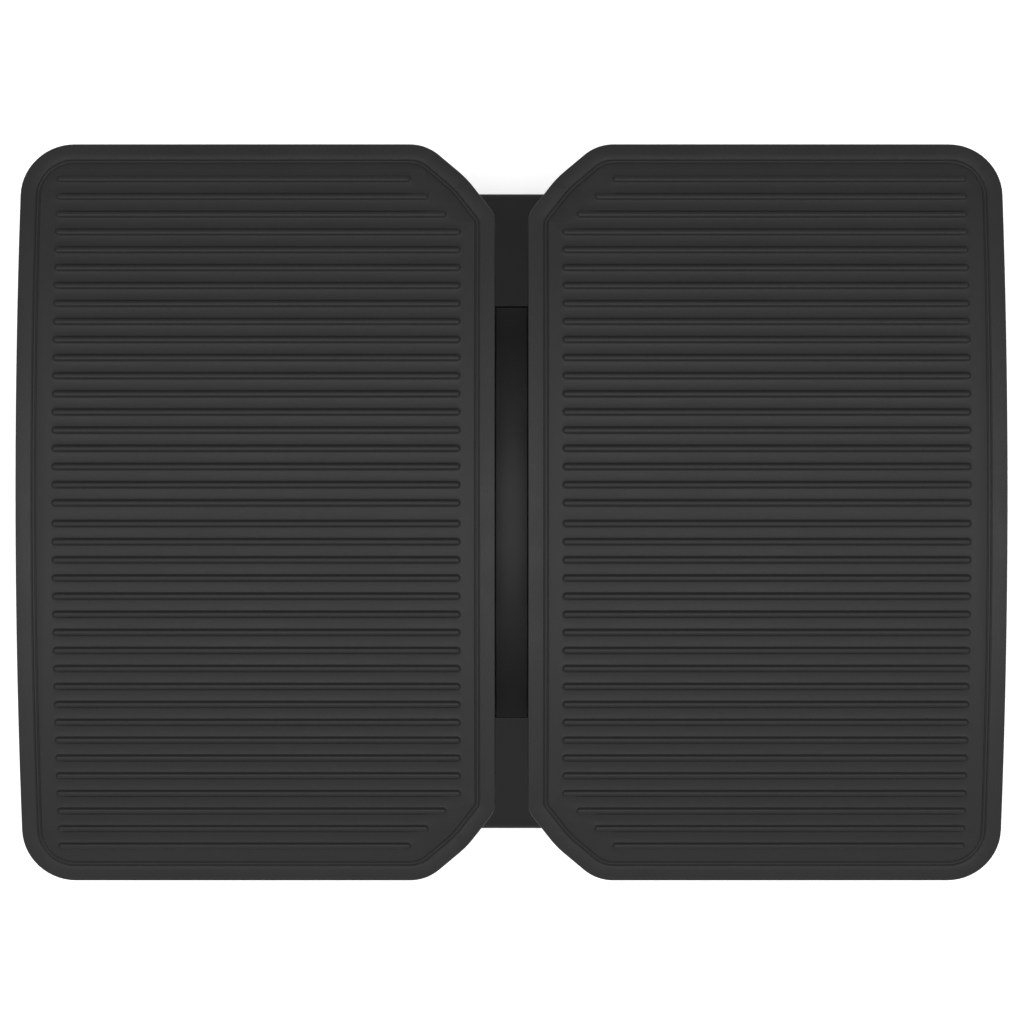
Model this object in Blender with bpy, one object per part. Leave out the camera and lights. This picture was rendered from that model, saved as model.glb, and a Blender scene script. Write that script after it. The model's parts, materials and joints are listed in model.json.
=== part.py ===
"""Dual slant board: two ribbed foot plates that tilt on one axle above a shared base.

X runs across the board, Y from the near (heel) end to the far (toe) end, and Z is up.
The origin is on the floor under the centre of the board. All sizes are in metres.
"""

import math

import bmesh
import bpy
import numpy
from mathutils import Matrix, Vector

# Foot plates
PLATE_INNER_X = 0.0085
PLATE_OUTER_X = 0.254
PLATE_HALF_LENGTH = 0.1915
PLATE_CORNER_RADIUS = 0.027
CROWN_RADIUS = 1.335
PLATE_TOP_Z = 0.108
SHELL_DEPTH = 0.017
SKIRT = 0.005
MAT_INSET = 0.008
MAT_THICKNESS = 0.003
SHELL_CEILING = 0.0078
BAND_HALF_LENGTH = 0.038
LAND_RIB_X = 0.131
LAND_RIB_WIDTH = 0.008
POCKET_CORNER_RADIUS = 0.004
FLAT_BAND_MARGIN = 0.003
CROWN_STRIPS = 16

# Each inner corner of a plate is cut off by two facets: x, y and radius of the three corners that leaves
CUT_CORNERS = (
    (0.0443, PLATE_HALF_LENGTH, 0.0234),
    (0.0232, 0.1734, 0.055),
    (PLATE_INNER_X, 0.1542, 0.013),
)

# Ribs of the mats
RIBS_PER_HALF = 19
FIRST_RIB_Y = 0.00528
RIB_PITCH = 0.00931
RIB_WIDTH = 0.0039
RIB_HEIGHT = 0.0014
RIB_INNER_X = 0.026
RIB_OUTER_X = 0.2354
RIB_CHAMFER_OFFSET = 0.1208
RIB_ROOT = 0.0008
RIB_TAPER = 0.6
RIB_END_STEPS = 2

# Tilt axis, and how far each plate tilts
PIVOT_Z = 0.076
TILT_LIMIT = math.radians(20.0)
INDEX_STEP = math.radians(10.0)
AXLE_RADIUS = 0.006
AXLE_HALF_LENGTH = 0.2245
AXLE_CHAMFER = 0.001
AXLE_CAP_RADIUS = 0.010
AXLE_CAP_DOME = 0.0032

# Base
TRAY_HALF_WIDTH = 0.238
BASE_HALF_LENGTH = 0.181
BASE_CORNER_RADIUS = 0.030
TRAY_BOTTOM_Z = 0.003
TRAY_TOP_Z = 0.008
RAIL_RIDGE_Y = 0.1132
RAIL_FOOT_Y = 0.1106
RAIL_RIDGE_Z = 0.042
RAIL_END_Z = 0.0105
RAIL_SLOPE_POWER = 1.5
RAIL_SLOPE_END_Y = 0.1785
RAIL_FOOT_LIP = 0.001
RAIL_STEPS = 9
STOP_PAD_Y = 0.118
STOP_PAD_LENGTH = 0.014
STOP_PAD_WIDTH = 0.040
STOP_PAD_BOTTOM_Z = 0.026
STOP_PAD_CLEARANCE = 0.0008
FIN_HALF_THICKNESS = 0.0082
FIN_DOME_REACH = 0.093
FIN_RAMP_START_Y = 0.058
FIN_SHOULDER_Z = 0.065
FIN_SHOULDER_END_Y = 0.1099
FIN_TOP_Z = 0.098
FIN_POWER = 2.5
FIN_STEPS = 10
FIN_EDGE_ROUND = 0.001
FIN_BOSS_RADIUS = 0.011
PLINTH_HALF_WIDTH = 0.012
PLINTH_TOP_Z = 0.040
FOOT_RADIUS = 0.014
FOOT_X = 0.205
FOOT_Y = 0.150
FOOT_RECESS = 0.0015
FOOT_EDGE = 0.001

# Hangers under the plates, and the towers at the ends of the axle
INNER_EAR_X = 0.022
INDEX_EAR_X = 0.202
EAR_THICKNESS = 0.004
FLANGE_WIDTH = 0.034
FLANGE_HALF_LENGTH = 0.032
INNER_EAR_RADIUS = 0.015
INNER_EAR_SHOULDER = 0.026
SECTOR_RADIUS = 0.058
SECTOR_HALF_ANGLE = math.radians(30.0)
INDEX_RADIUS = 0.050
INDEX_HOLE_RADIUS = 0.0034
TOWER_X = 0.2106
TOWER_THICKNESS = 0.010
TOWER_TOP_RADIUS = 0.013
TOWER_HEAD_START = math.radians(20.0)
TOWER_FOOT_HALF_LENGTH = 0.044
TOWER_FOOT_HEIGHT = 0.006
TOWER_EDGE_ROUND = 0.0012

# Bushes, washers and screws
BUSH_HOLE_RADIUS = 0.009
BUSH_FLANGE_RADIUS = 0.012
BUSH_FLANGE = 0.0017
BUSH_BORE_RADIUS = 0.0063
BUSH_OVERHANG = 0.004
FRICTION_WASHER_RADIUS = 0.0135
SCREW_RADIUS = 0.002
SCREW_HEAD_RADIUS = 0.004
SCREW_HEAD_HEIGHT = 0.003
BASE_SCREW_HEAD_HEIGHT = 0.0017
BASE_SCREW_TOP_Z = 0.020
BRACKET_SCREW_Y = 0.022
BRACKET_SCREW_MARGIN = 0.012
BRACKET_SCREW_GRIP = 0.008
TOWER_SCREW_Y = 0.028
FIN_SCREW_Y = 0.060
RAIL_SCREW_X = 0.120
RAIL_SCREW_Y = 0.125

# Index plungers
HOUSING_INNER_X = 0.2083
HOUSING_OUTER_X = 0.2285
HOUSING_RADIUS = 0.0065
HOUSING_BORE = 0.0041
HOUSING_HEX_RADIUS = 0.0095
HOUSING_HEX_WIDTH = 0.005
END_WALL = 0.0015
PIN_RADIUS = 0.003
PIN_TIP_LENGTH = 0.0012
PIN_TIP_RADIUS = 0.0022
COLLAR_RADIUS = 0.0038
STEM_RADIUS = 0.0022
PLUNGER_TRAVEL = 0.009
KNOB_RADIUS = 0.010
KNOB_LENGTH = 0.012
SPRING_RADIUS = 0.0033
SPRING_WIRE = 0.00045
SPRING_TURNS = 4
SPRING_STEPS_PER_TURN = 9

# Gap left between pieces that touch, how far a cutter runs past what it cuts, and sides of round shapes
GAP = 0.0003
PAST = 0.01
ROUND_STEPS = 16
HOLE_STEPS = 12
SMALL_STEPS = 8

FINISHES = {
    "shell_plastic": ((0.032, 0.032, 0.034), 0.50, 0.0),
    "mat_rubber": ((0.028, 0.028, 0.030), 0.62, 0.0),
    "base_plastic": ((0.026, 0.026, 0.028), 0.55, 0.0),
    "foot_rubber": ((0.015, 0.015, 0.016), 0.80, 0.0),
    "black_steel": ((0.045, 0.045, 0.048), 0.40, 0.9),
    "bright_steel": ((0.62, 0.62, 0.64), 0.25, 1.0),
    "bush_bronze": ((0.45, 0.31, 0.16), 0.35, 1.0),
    "knob_plastic": ((0.020, 0.020, 0.022), 0.35, 0.0),
}


def clear_scene():
    """Remove whatever the scene holds."""
    for obj in list(bpy.data.objects):
        bpy.data.objects.remove(obj, do_unlink=True)


def finish_material(name):
    """One material per finish, made when it is first asked for."""
    material = bpy.data.materials.get(name)
    if material is None:
        colour, roughness, metallic = FINISHES[name]
        material = bpy.data.materials.new(name)
        material.use_nodes = True
        shader = material.node_tree.nodes["Principled BSDF"]
        shader.inputs["Base Color"].default_value = (*colour, 1.0)
        shader.inputs["Roughness"].default_value = roughness
        shader.inputs["Metallic"].default_value = metallic
    return material


def object_from(bm, name, finish=None, smooth=True):
    """Close a bmesh into an object with outward faces; a cutter has no finish."""
    bmesh.ops.recalc_face_normals(bm, faces=bm.faces[:])
    mesh = bpy.data.meshes.new(name)
    bm.to_mesh(mesh)
    bm.free()
    if smooth:
        mesh.shade_smooth()
        mesh.set_sharp_from_angle(angle=math.radians(30.0))
    obj = bpy.data.objects.new(name, mesh)
    bpy.context.collection.objects.link(obj)
    if finish:
        mesh.materials.append(finish_material(finish))
    else:
        obj.hide_render = True
        obj.display_type = 'WIRE'
    return obj


def combine(obj, other, operation):
    """Add an exact Boolean of another object, which then stays as a guide."""
    other.hide_render = True
    other.display_type = 'WIRE'
    modifier = obj.modifiers.new(operation.lower() + "_" + other.name, 'BOOLEAN')
    modifier.operation = operation
    modifier.solver = 'EXACT'
    modifier.object = other


def cut(obj, cutter):
    combine(obj, cutter, 'DIFFERENCE')


def soften(obj, width, segments=1):
    """Bevel the sharp edges of a piece."""
    modifier = obj.modifiers.new("soft_edges", 'BEVEL')
    modifier.width = width
    modifier.segments = segments
    modifier.limit_method = 'ANGLE'
    modifier.angle_limit = math.radians(50.0)


def prism(name, outline, low, high, axis, side=1, finish=None):
    """Extrude a closed outline along Z (points are x, y) or along X (points are y, z)."""
    bm = bmesh.new()
    if axis == 'Z':
        points = [(side * x, y, low) for x, y in outline]
        shift = (0.0, 0.0, high - low)
    else:
        points = [(side * low, y, z) for y, z in outline]
        shift = (side * (high - low), 0.0, 0.0)
    face = bm.faces.new([bm.verts.new(point) for point in points])
    grown = bmesh.ops.extrude_face_region(bm, geom=[face])["geom"]
    verts = [item for item in grown if isinstance(item, bmesh.types.BMVert)]
    bmesh.ops.translate(bm, verts=verts, vec=shift)
    return object_from(bm, name, finish)


def rectangle(x_low, x_high, y_low, y_high):
    return [(x_low, y_low), (x_high, y_low), (x_high, y_high), (x_low, y_high)]


def turned(name, profile, centre, side=1, finish=None, steps=ROUND_STEPS, axis='X'):
    """Turn a closed (axial, radius) profile about a line through centre along X or Z."""
    bm = bmesh.new()
    if axis == 'X':
        verts = [bm.verts.new((side * along, centre[0], centre[1] + radius)) for along, radius in profile]
        middle = (0.0, centre[0], centre[1])
        line = (1.0, 0.0, 0.0)
    else:
        verts = [bm.verts.new((centre[0] + radius, centre[1], along)) for along, radius in profile]
        middle = (centre[0], centre[1], 0.0)
        line = (0.0, 0.0, 1.0)
    on_axis = [radius == 0.0 for _, radius in profile]
    edges = []
    for i in range(len(verts)):
        j = (i + 1) % len(verts)
        if not (on_axis[i] and on_axis[j]):
            edges.append(bm.edges.new((verts[i], verts[j])))
    bmesh.ops.spin(bm, geom=edges, cent=middle, axis=line, angle=math.tau, steps=steps, use_merge=True)
    bmesh.ops.remove_doubles(bm, verts=bm.verts[:], dist=1e-6)
    return object_from(bm, name, finish)


def cylinder(name, low, high, radius, centre, side=1, finish=None, steps=ROUND_STEPS, axis='X'):
    """A cylinder along X or Z through centre."""
    bm = bmesh.new()
    middle = (low + high) / 2.0
    if axis == 'X':
        place = Matrix.Translation((side * middle, *centre)) @ Matrix.Rotation(math.pi / 2.0, 4, 'Y')
    else:
        place = Matrix.Translation((*centre, middle))
    bmesh.ops.create_cone(
        bm, cap_ends=True, segments=steps, radius1=radius, radius2=radius, depth=high - low, matrix=place)
    return object_from(bm, name, finish)


def upright_hole(obj, label, place, low, high):
    """Cut a clearance hole for a screw, upward along Z."""
    cut(obj, cylinder(f"{obj.name}_{label}", low, high, SCREW_RADIUS + GAP, place, 1, None, SMALL_STEPS, 'Z'))


def tube(name, low, high, inner, outer, centre, side=1, finish=None, steps=ROUND_STEPS):
    profile = [(low, inner), (low, outer), (high, outer), (high, inner)]
    return turned(name, profile, centre, side, finish, steps)


def arc(centre, radius, start, end, steps):
    """Points on an arc from one angle to another."""
    angles = [start + (end - start) * i / steps for i in range(steps + 1)]
    return [(centre[0] + radius * math.cos(a), centre[1] + radius * math.sin(a)) for a in angles]


def rounded_polygon(corners, radii, steps=4):
    """Replace each corner of a convex polygon by an arc of its own radius."""
    points = []
    for i, corner in enumerate(corners):
        here = Vector(corner)
        back = (Vector(corners[i - 1]) - here).normalized()
        ahead = (Vector(corners[(i + 1) % len(corners)]) - here).normalized()
        half = back.angle(ahead) / 2.0
        radius = radii[i]
        centre = here + (back + ahead).normalized() * (radius / math.sin(half))
        start = here + back * (radius / math.tan(half)) - centre
        sweep = math.pi - 2.0 * half
        turn = 1.0 if back.x * ahead.y - back.y * ahead.x < 0.0 else -1.0
        for k in range(steps + 1):
            spin = Matrix.Rotation(turn * sweep * k / steps, 2)
            points.append(tuple(centre + spin @ start))
    return points


def inset_polygon(corners, inset):
    """Corners of a convex polygon whose edges have all moved inward by inset."""
    moved = []
    for i, corner in enumerate(corners):
        here = Vector(corner)
        arrive = (here - Vector(corners[i - 1])).normalized().orthogonal()
        leave = (Vector(corners[(i + 1) % len(corners)]) - here).normalized().orthogonal()
        moved.append(here + (arrive + leave) * (inset / (1.0 + arrive.dot(leave))))
    return moved


def plate_corners(inset):
    """Corners and radii of a foot plate's plan, drawn in by inset: two outer corners, then six inner ones."""
    rear = list(CUT_CORNERS)
    front = [(x, -y, radius) for x, y, radius in reversed(CUT_CORNERS)]
    outer = [(PLATE_OUTER_X, end * PLATE_HALF_LENGTH, PLATE_CORNER_RADIUS) for end in (-1, 1)]
    corners = outer + rear + front
    places = inset_polygon([(x, y) for x, y, _ in corners], inset)
    return places, [radius - inset for _, _, radius in corners]


def plate_outline(inset, steps=4):
    """Plan of a foot plate drawn in by inset, with its corners rounded."""
    places, radii = plate_corners(inset)
    return rounded_polygon(places, radii, steps)


def crown_drop(y):
    """How far the crowned top has fallen at a distance y from the middle."""
    return CROWN_RADIUS - math.sqrt(CROWN_RADIUS ** 2 - y * y)


def profiled_block(name, outline, levels, low, high, side=1, finish=None):
    """A block on a plan outline whose bottom and top are functions of y, straight between levels."""
    bm = bmesh.new()
    bm.faces.new([bm.verts.new((side * x, y, 0.0)) for x, y in outline])
    for y in levels[1:-1]:
        everything = bm.verts[:] + bm.edges[:] + bm.faces[:]
        bmesh.ops.bisect_plane(bm, geom=everything, plane_co=(0.0, y, 0.0), plane_no=(0.0, 1.0, 0.0))
    grown = bmesh.ops.extrude_face_region(bm, geom=bm.faces[:])["geom"]
    upper = {item for item in grown if isinstance(item, bmesh.types.BMVert)}
    for vert in bm.verts:
        height = high if vert in upper else low
        vert.co.z = numpy.interp(vert.co.y, levels, [height(y) for y in levels])
    return object_from(bm, name, finish)


def crowned_block(name, outline, low, high, side, finish=None):
    """A block on a plan outline whose top and bottom both follow the crown."""
    levels = [PLATE_HALF_LENGTH * (2.0 * i / CROWN_STRIPS - 1.0) for i in range(CROWN_STRIPS + 1)]

    def bottom(y):
        return low - crown_drop(y)

    def top(y):
        return high - crown_drop(y)

    return profiled_block(name, outline, levels, bottom, top, side, finish)


def axis_empty(name, location):
    """An empty on a joint's axis; the pieces that move with it are its children."""
    empty = bpy.data.objects.new(name, None)
    empty.location = location
    bpy.context.collection.objects.link(empty)
    return empty


def ride(empty, *pieces):
    """Parent pieces to an axis empty, each where it is."""
    for piece in pieces:
        piece.parent = empty
        piece.matrix_parent_inverse = Matrix.Translation(-empty.location)


def side_name(side):
    return "right" if side > 0 else "left"


# ---------------------------------------------------------------- foot plates

def rib_positions():
    """Where each rib lies: its y, and the x of its inner and outer ends."""
    ribs = []
    for half in (-1, 1):
        for i in range(RIBS_PER_HALF):
            y = FIRST_RIB_Y + i * RIB_PITCH
            inner = max(RIB_INNER_X, y - RIB_CHAMFER_OFFSET)
            ribs.append((half * y, inner, RIB_OUTER_X))
    return ribs


def rib_bars(name, side):
    """The raised ribs as tapered bars that reach into the mat."""
    bm = bmesh.new()
    radius = RIB_WIDTH / 2.0
    for y, inner, outer in rib_positions():
        left = arc((inner + radius, 0.0), radius, math.pi / 2.0, math.pi * 1.5, RIB_END_STEPS)
        right = arc((outer - radius, 0.0), radius, -math.pi / 2.0, math.pi / 2.0, RIB_END_STEPS)
        outline = left + right
        base_z = PLATE_TOP_Z - crown_drop(y)
        low = [bm.verts.new((side * px, y + py, base_z - RIB_ROOT)) for px, py in outline]
        high = []
        for px, py in outline:
            middle = min(max(px, inner + radius), outer - radius)
            top = (side * (middle + (px - middle) * RIB_TAPER), y + py * RIB_TAPER, base_z + RIB_HEIGHT)
            high.append(bm.verts.new(top))
        bm.faces.new(low)
        bm.faces.new(high)
        for i in range(len(low)):
            j = (i + 1) % len(low)
            bm.faces.new((low[i], low[j], high[j], high[i]))
    return object_from(bm, name, smooth=False)


def foot_mat(side):
    """Rubber tread mat let into the top of the shell."""
    name = side_name(side) + "_mat"
    bottom = PLATE_TOP_Z - MAT_THICKNESS
    mat = crowned_block(name, plate_outline(MAT_INSET + GAP), bottom, PLATE_TOP_Z, side, "mat_rubber")
    combine(mat, rib_bars(name + "_ribs", side), 'UNION')
    return mat


def plate_shell(side):
    """Moulded plate: crowned top with a recess for the mat, a skirt, and pockets below."""
    name = side_name(side) + "_plate_shell"
    bottom = PLATE_TOP_Z - SHELL_DEPTH
    shell = crowned_block(name, plate_outline(0.0), bottom, PLATE_TOP_Z, side, "shell_plastic")
    recess_z = PLATE_TOP_Z - MAT_THICKNESS - GAP
    above = PLATE_TOP_Z + PAST
    cut(shell, crowned_block(name + "_recess", plate_outline(MAT_INSET), recess_z, above, side))

    ceiling = PLATE_TOP_Z - SHELL_CEILING
    below = bottom - 2.0 * PAST
    x_low = PLATE_INNER_X + SKIRT
    x_high = PLATE_OUTER_X - SKIRT
    x_rib = LAND_RIB_X - LAND_RIB_WIDTH / 2.0
    x_rib_end = LAND_RIB_X + LAND_RIB_WIDTH / 2.0
    y_low = BAND_HALF_LENGTH
    y_high = PLATE_HALF_LENGTH - SKIRT
    places, radii = plate_corners(SKIRT)
    plain = POCKET_CORNER_RADIUS
    inner_pocket = (
        [(x_low, y_low), (x_rib, y_low), (x_rib, y_high)] + places[2:5],
        [plain, plain, plain] + radii[2:5],
    )
    outer_pocket = (
        [(x_rib_end, y_low), (x_high, y_low), (x_high, y_high), (x_rib_end, y_high)],
        [plain, plain, PLATE_CORNER_RADIUS - SKIRT, plain],
    )
    for end in (-1, 1):
        for label, (corners, corner_radii) in (("inner", inner_pocket), ("outer", outer_pocket)):
            outline = rounded_polygon([(x, end * y) for x, y in corners], corner_radii, 3)
            cut(shell, crowned_block(f"{name}_{label}_pocket_{end}", outline, below, ceiling, side))

    flat_y = BAND_HALF_LENGTH - FLAT_BAND_MARGIN
    flat = rectangle(x_low + FLAT_BAND_MARGIN, x_high - FLAT_BAND_MARGIN, -flat_y, flat_y)
    cut(shell, prism(name + "_flat_band", flat, below, bottom + GAP, 'Z', side))
    hole_top = bottom + BRACKET_SCREW_GRIP + GAP
    for x in bracket_screw_x():
        for y in (-BRACKET_SCREW_Y, BRACKET_SCREW_Y):
            upright_hole(shell, f"hole_{x:.3f}_{y:.3f}", (side * x, y), below, hole_top)
    return shell


# ------------------------------------------------------- hangers and their screws

def bracket_screw_x():
    """X of the screws through the inner flange and through the index flange."""
    inner = INNER_EAR_X + FLANGE_WIDTH - BRACKET_SCREW_MARGIN
    index = INDEX_EAR_X + EAR_THICKNESS - FLANGE_WIDTH + BRACKET_SCREW_MARGIN
    return inner, index


def flange_levels():
    """Bottom and top of a hanger's flange."""
    top = PLATE_TOP_Z - SHELL_DEPTH
    return top - EAR_THICKNESS, top


def hanger(side, name, ear_x, flange_low, flange_high, ear_outline, screw_x, holes):
    """A bent steel hanger: a flange screwed up into the shell, and an ear on the axle."""
    low, high = flange_levels()
    plan = rectangle(flange_low, flange_high, -FLANGE_HALF_LENGTH, FLANGE_HALF_LENGTH)
    piece = prism(name, ear_outline, ear_x, ear_x + EAR_THICKNESS, 'X', side, "black_steel")
    combine(piece, prism(name + "_flange", plan, low, high, 'Z', side), 'UNION')
    for y, z, radius, label in holes:
        steps = ROUND_STEPS if radius == BUSH_HOLE_RADIUS else HOLE_STEPS
        cut(piece, cylinder(f"{name}_{label}", ear_x - PAST, ear_x + PAST, radius, (y, z), side, None, steps))
    for y in (-BRACKET_SCREW_Y, BRACKET_SCREW_Y):
        upright_hole(piece, f"screw_hole_{y:.3f}", (side * screw_x, y), low - PAST, high + PAST)
    return piece


def inner_bracket(side):
    """Inner hanger, whose ear tapers to the bush."""
    top = flange_levels()[1]
    tip = arc((0.0, PIVOT_Z), INNER_EAR_RADIUS, math.pi, math.tau, 10)
    outline = [(-INNER_EAR_SHOULDER, top)] + tip + [(INNER_EAR_SHOULDER, top)]
    bush_hole = [(0.0, PIVOT_Z, BUSH_HOLE_RADIUS, "bush_hole")]
    name = side_name(side) + "_inner_bracket"
    x_end = INNER_EAR_X + FLANGE_WIDTH
    screw_x = bracket_screw_x()[0]
    return hanger(side, name, INNER_EAR_X, INNER_EAR_X, x_end, outline, screw_x, bush_hole)


def index_bracket(side):
    """Outer hanger, whose ear is a sector with the index holes for the plunger."""
    top = flange_levels()[1]
    down = -math.pi / 2.0
    sector = arc((0.0, PIVOT_Z), SECTOR_RADIUS, down - SECTOR_HALF_ANGLE, down + SECTOR_HALF_ANGLE, 12)
    outline = [(-FLANGE_HALF_LENGTH, top)] + sector + [(FLANGE_HALF_LENGTH, top)]
    holes = [(0.0, PIVOT_Z, BUSH_HOLE_RADIUS, "bush_hole")]
    steps = round(TILT_LIMIT / INDEX_STEP)
    for i in range(-steps, steps + 1):
        angle = down + i * INDEX_STEP
        y = INDEX_RADIUS * math.cos(angle)
        z = PIVOT_Z + INDEX_RADIUS * math.sin(angle)
        holes.append((y, z, INDEX_HOLE_RADIUS, f"index_hole_{i + steps}"))
    name = side_name(side) + "_index_bracket"
    x_end = INDEX_EAR_X + EAR_THICKNESS
    screw_x = bracket_screw_x()[1]
    return hanger(side, name, INDEX_EAR_X, x_end - FLANGE_WIDTH, x_end, outline, screw_x, holes)


def bracket_screws(side):
    """Pan-head screws that hold the two hangers to the shell."""
    low, high = flange_levels()
    screws = []
    labels = ("inner_bracket_screw", "index_bracket_screw")
    head_top = low - GAP
    head_bottom = head_top - SCREW_HEAD_HEIGHT
    tip = high + BRACKET_SCREW_GRIP
    for label, x in zip(labels, bracket_screw_x()):
        for number, y in enumerate((-BRACKET_SCREW_Y, BRACKET_SCREW_Y), start=1):
            profile = [
                (head_bottom, 0.0), (head_bottom, SCREW_HEAD_RADIUS * 0.8),
                (head_bottom + SCREW_HEAD_HEIGHT * 0.4, SCREW_HEAD_RADIUS), (head_top, SCREW_HEAD_RADIUS),
                (head_top, SCREW_RADIUS), (tip, SCREW_RADIUS), (tip, 0.0),
            ]
            name = f"{side_name(side)}_{label}_{number}"
            screws.append(turned(name, profile, (side * x, y), 1, "bright_steel", SMALL_STEPS, 'Z'))
    return screws


def bush(side, name, ear_x, flange_first):
    """Flanged bush pressed into an ear; the axle turns in it."""
    barrel_low = ear_x - (GAP if flange_first else BUSH_OVERHANG)
    barrel_high = ear_x + EAR_THICKNESS + (BUSH_OVERHANG if flange_first else GAP)
    outer = BUSH_HOLE_RADIUS - GAP
    if flange_first:
        profile = [
            (barrel_low - BUSH_FLANGE, BUSH_BORE_RADIUS), (barrel_low - BUSH_FLANGE, BUSH_FLANGE_RADIUS),
            (barrel_low, BUSH_FLANGE_RADIUS), (barrel_low, outer),
            (barrel_high, outer), (barrel_high, BUSH_BORE_RADIUS),
        ]
    else:
        profile = [
            (barrel_low, BUSH_BORE_RADIUS), (barrel_low, outer),
            (barrel_high, outer), (barrel_high, BUSH_FLANGE_RADIUS),
            (barrel_high + BUSH_FLANGE, BUSH_FLANGE_RADIUS), (barrel_high + BUSH_FLANGE, BUSH_BORE_RADIUS),
        ]
    return turned(name, profile, (0.0, PIVOT_Z), side, "bush_bronze")


def friction_washer(side):
    """Washer squeezed between the outer bush and the tower, which holds a free plate where it is put."""
    low = INDEX_EAR_X + EAR_THICKNESS + GAP + BUSH_FLANGE + GAP
    high = TOWER_X - GAP
    name = side_name(side) + "_friction_washer"
    centre = (0.0, PIVOT_Z)
    return tube(name, low, high, BUSH_BORE_RADIUS, FRICTION_WASHER_RADIUS, centre, side, "foot_rubber")


# ------------------------------------------------------------------------ base

def base_outline(steps=5):
    corners = rectangle(-TRAY_HALF_WIDTH, TRAY_HALF_WIDTH, -BASE_HALF_LENGTH, BASE_HALF_LENGTH)
    return rounded_polygon(corners, [BASE_CORNER_RADIUS] * 4, steps)


def base_screw_places():
    """Name and plan position of each screw that holds a base piece down to the tray."""
    places = {}
    for side in (-1, 1):
        label = side_name(side)
        for number, y in enumerate((-TOWER_SCREW_Y, TOWER_SCREW_Y), start=1):
            places[f"{label}_tower_screw_{number}"] = (side * (TOWER_X + TOWER_THICKNESS / 2.0), y)
        places[f"front_rail_{label}_screw"] = (side * RAIL_SCREW_X, -RAIL_SCREW_Y)
        places[f"rear_rail_{label}_screw"] = (side * RAIL_SCREW_X, RAIL_SCREW_Y)
    places["fin_front_screw"] = (0.0, -FIN_SCREW_Y)
    places["fin_rear_screw"] = (0.0, FIN_SCREW_Y)
    return places


def base_screw_holes(obj, prefix, low, high):
    """Cut the holes for the base screws whose names start with prefix."""
    for label, place in base_screw_places().items():
        if label.startswith(prefix):
            upright_hole(obj, label + "_hole", place, low, high)


def base_tray():
    """Flat moulded tray that carries the rails, the fin and the towers."""
    tray = prism("base_tray", base_outline(), TRAY_BOTTOM_Z, TRAY_TOP_Z, 'Z', 1, "base_plastic")
    recess_top = TRAY_BOTTOM_Z + FOOT_RECESS + GAP
    radius = FOOT_RADIUS + GAP
    for x in (-FOOT_X, FOOT_X):
        for y in (-FOOT_Y, FOOT_Y):
            label = f"foot_recess_{x:.3f}_{y:.3f}"
            cut(tray, cylinder(label, -PAST, recess_top, radius, (x, y), 1, None, ROUND_STEPS, 'Z'))
    base_screw_holes(tray, "", -PAST, TRAY_TOP_Z + PAST)
    return tray


def rail_height(y):
    """Height of a rail's top: a steep inner face, a ridge, then a slope down to a round edge."""
    y = abs(y)
    if y < RAIL_RIDGE_Y:
        climbed = (y - RAIL_FOOT_Y) / (RAIL_RIDGE_Y - RAIL_FOOT_Y)
        start = TRAY_TOP_Z + GAP + RAIL_FOOT_LIP
        return start + (RAIL_RIDGE_Z - start) * climbed
    done = min((y - RAIL_RIDGE_Y) / (RAIL_SLOPE_END_Y - RAIL_RIDGE_Y), 1.0)
    height = RAIL_END_Z + (RAIL_RIDGE_Z - RAIL_END_Z) * (1.0 - done) ** RAIL_SLOPE_POWER
    past = max(y - RAIL_SLOPE_END_Y, 0.0)
    edge = BASE_HALF_LENGTH - RAIL_SLOPE_END_Y
    return height - edge + math.sqrt(max(edge ** 2 - past ** 2, 0.0))


def lowered_underside(y):
    """Height of the underside of a plate tilted to its limit, at a distance y from the axle."""
    level = PLATE_TOP_Z - SHELL_DEPTH - PIVOT_Z
    along = y
    for _ in range(8):
        above = level - crown_drop(along)
        along = (y - above * math.sin(TILT_LIMIT)) / math.cos(TILT_LIMIT)
    return PIVOT_Z + above * math.cos(TILT_LIMIT) - along * math.sin(TILT_LIMIT)


def stop_pad_block(name, side, end, margin, finish):
    """A stop pad, whose top lies along the underside of a plate at its limit; a margin makes its pocket."""
    near = STOP_PAD_Y - margin
    far = STOP_PAD_Y + STOP_PAD_LENGTH + margin
    bottom = STOP_PAD_BOTTOM_Z - margin
    outline = [
        (end * near, bottom), (end * far, bottom),
        (end * far, lowered_underside(far) - STOP_PAD_CLEARANCE),
        (end * near, lowered_underside(near) - STOP_PAD_CLEARANCE),
    ]
    half = STOP_PAD_WIDTH / 2.0 + margin
    return prism(name, outline, LAND_RIB_X - half, LAND_RIB_X + half, 'X', side, finish)


def cross_rail(name, end):
    """Rail across one end of the base, on which the lowered plates come to rest."""
    slope = [RAIL_RIDGE_Y + (RAIL_SLOPE_END_Y - RAIL_RIDGE_Y) * i / RAIL_STEPS for i in range(RAIL_STEPS + 1)]
    edge = BASE_HALF_LENGTH - RAIL_SLOPE_END_Y
    levels = [RAIL_FOOT_Y] + slope + [RAIL_SLOPE_END_Y + edge * share for share in (0.5, 0.8, 1.0)]
    levels = sorted(end * y for y in levels)
    plan = [(x, y) for x, y in base_outline() if end * y > RAIL_RIDGE_Y]
    plan.sort(key=lambda point: -point[0])
    foot_y = end * RAIL_FOOT_Y
    corners = [(-TRAY_HALF_WIDTH, foot_y), (TRAY_HALF_WIDTH, foot_y)]

    def bottom(_):
        return TRAY_TOP_Z + GAP

    rail = profiled_block(name, corners + plan, levels, bottom, rail_height, 1, "base_plastic")
    for side in (-1, 1):
        cut(rail, stop_pad_block(f"{name}_pad_pocket_{side}", side, end, GAP, None))
    base_screw_holes(rail, name, 0.0, BASE_SCREW_TOP_Z + GAP)
    return rail


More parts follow.
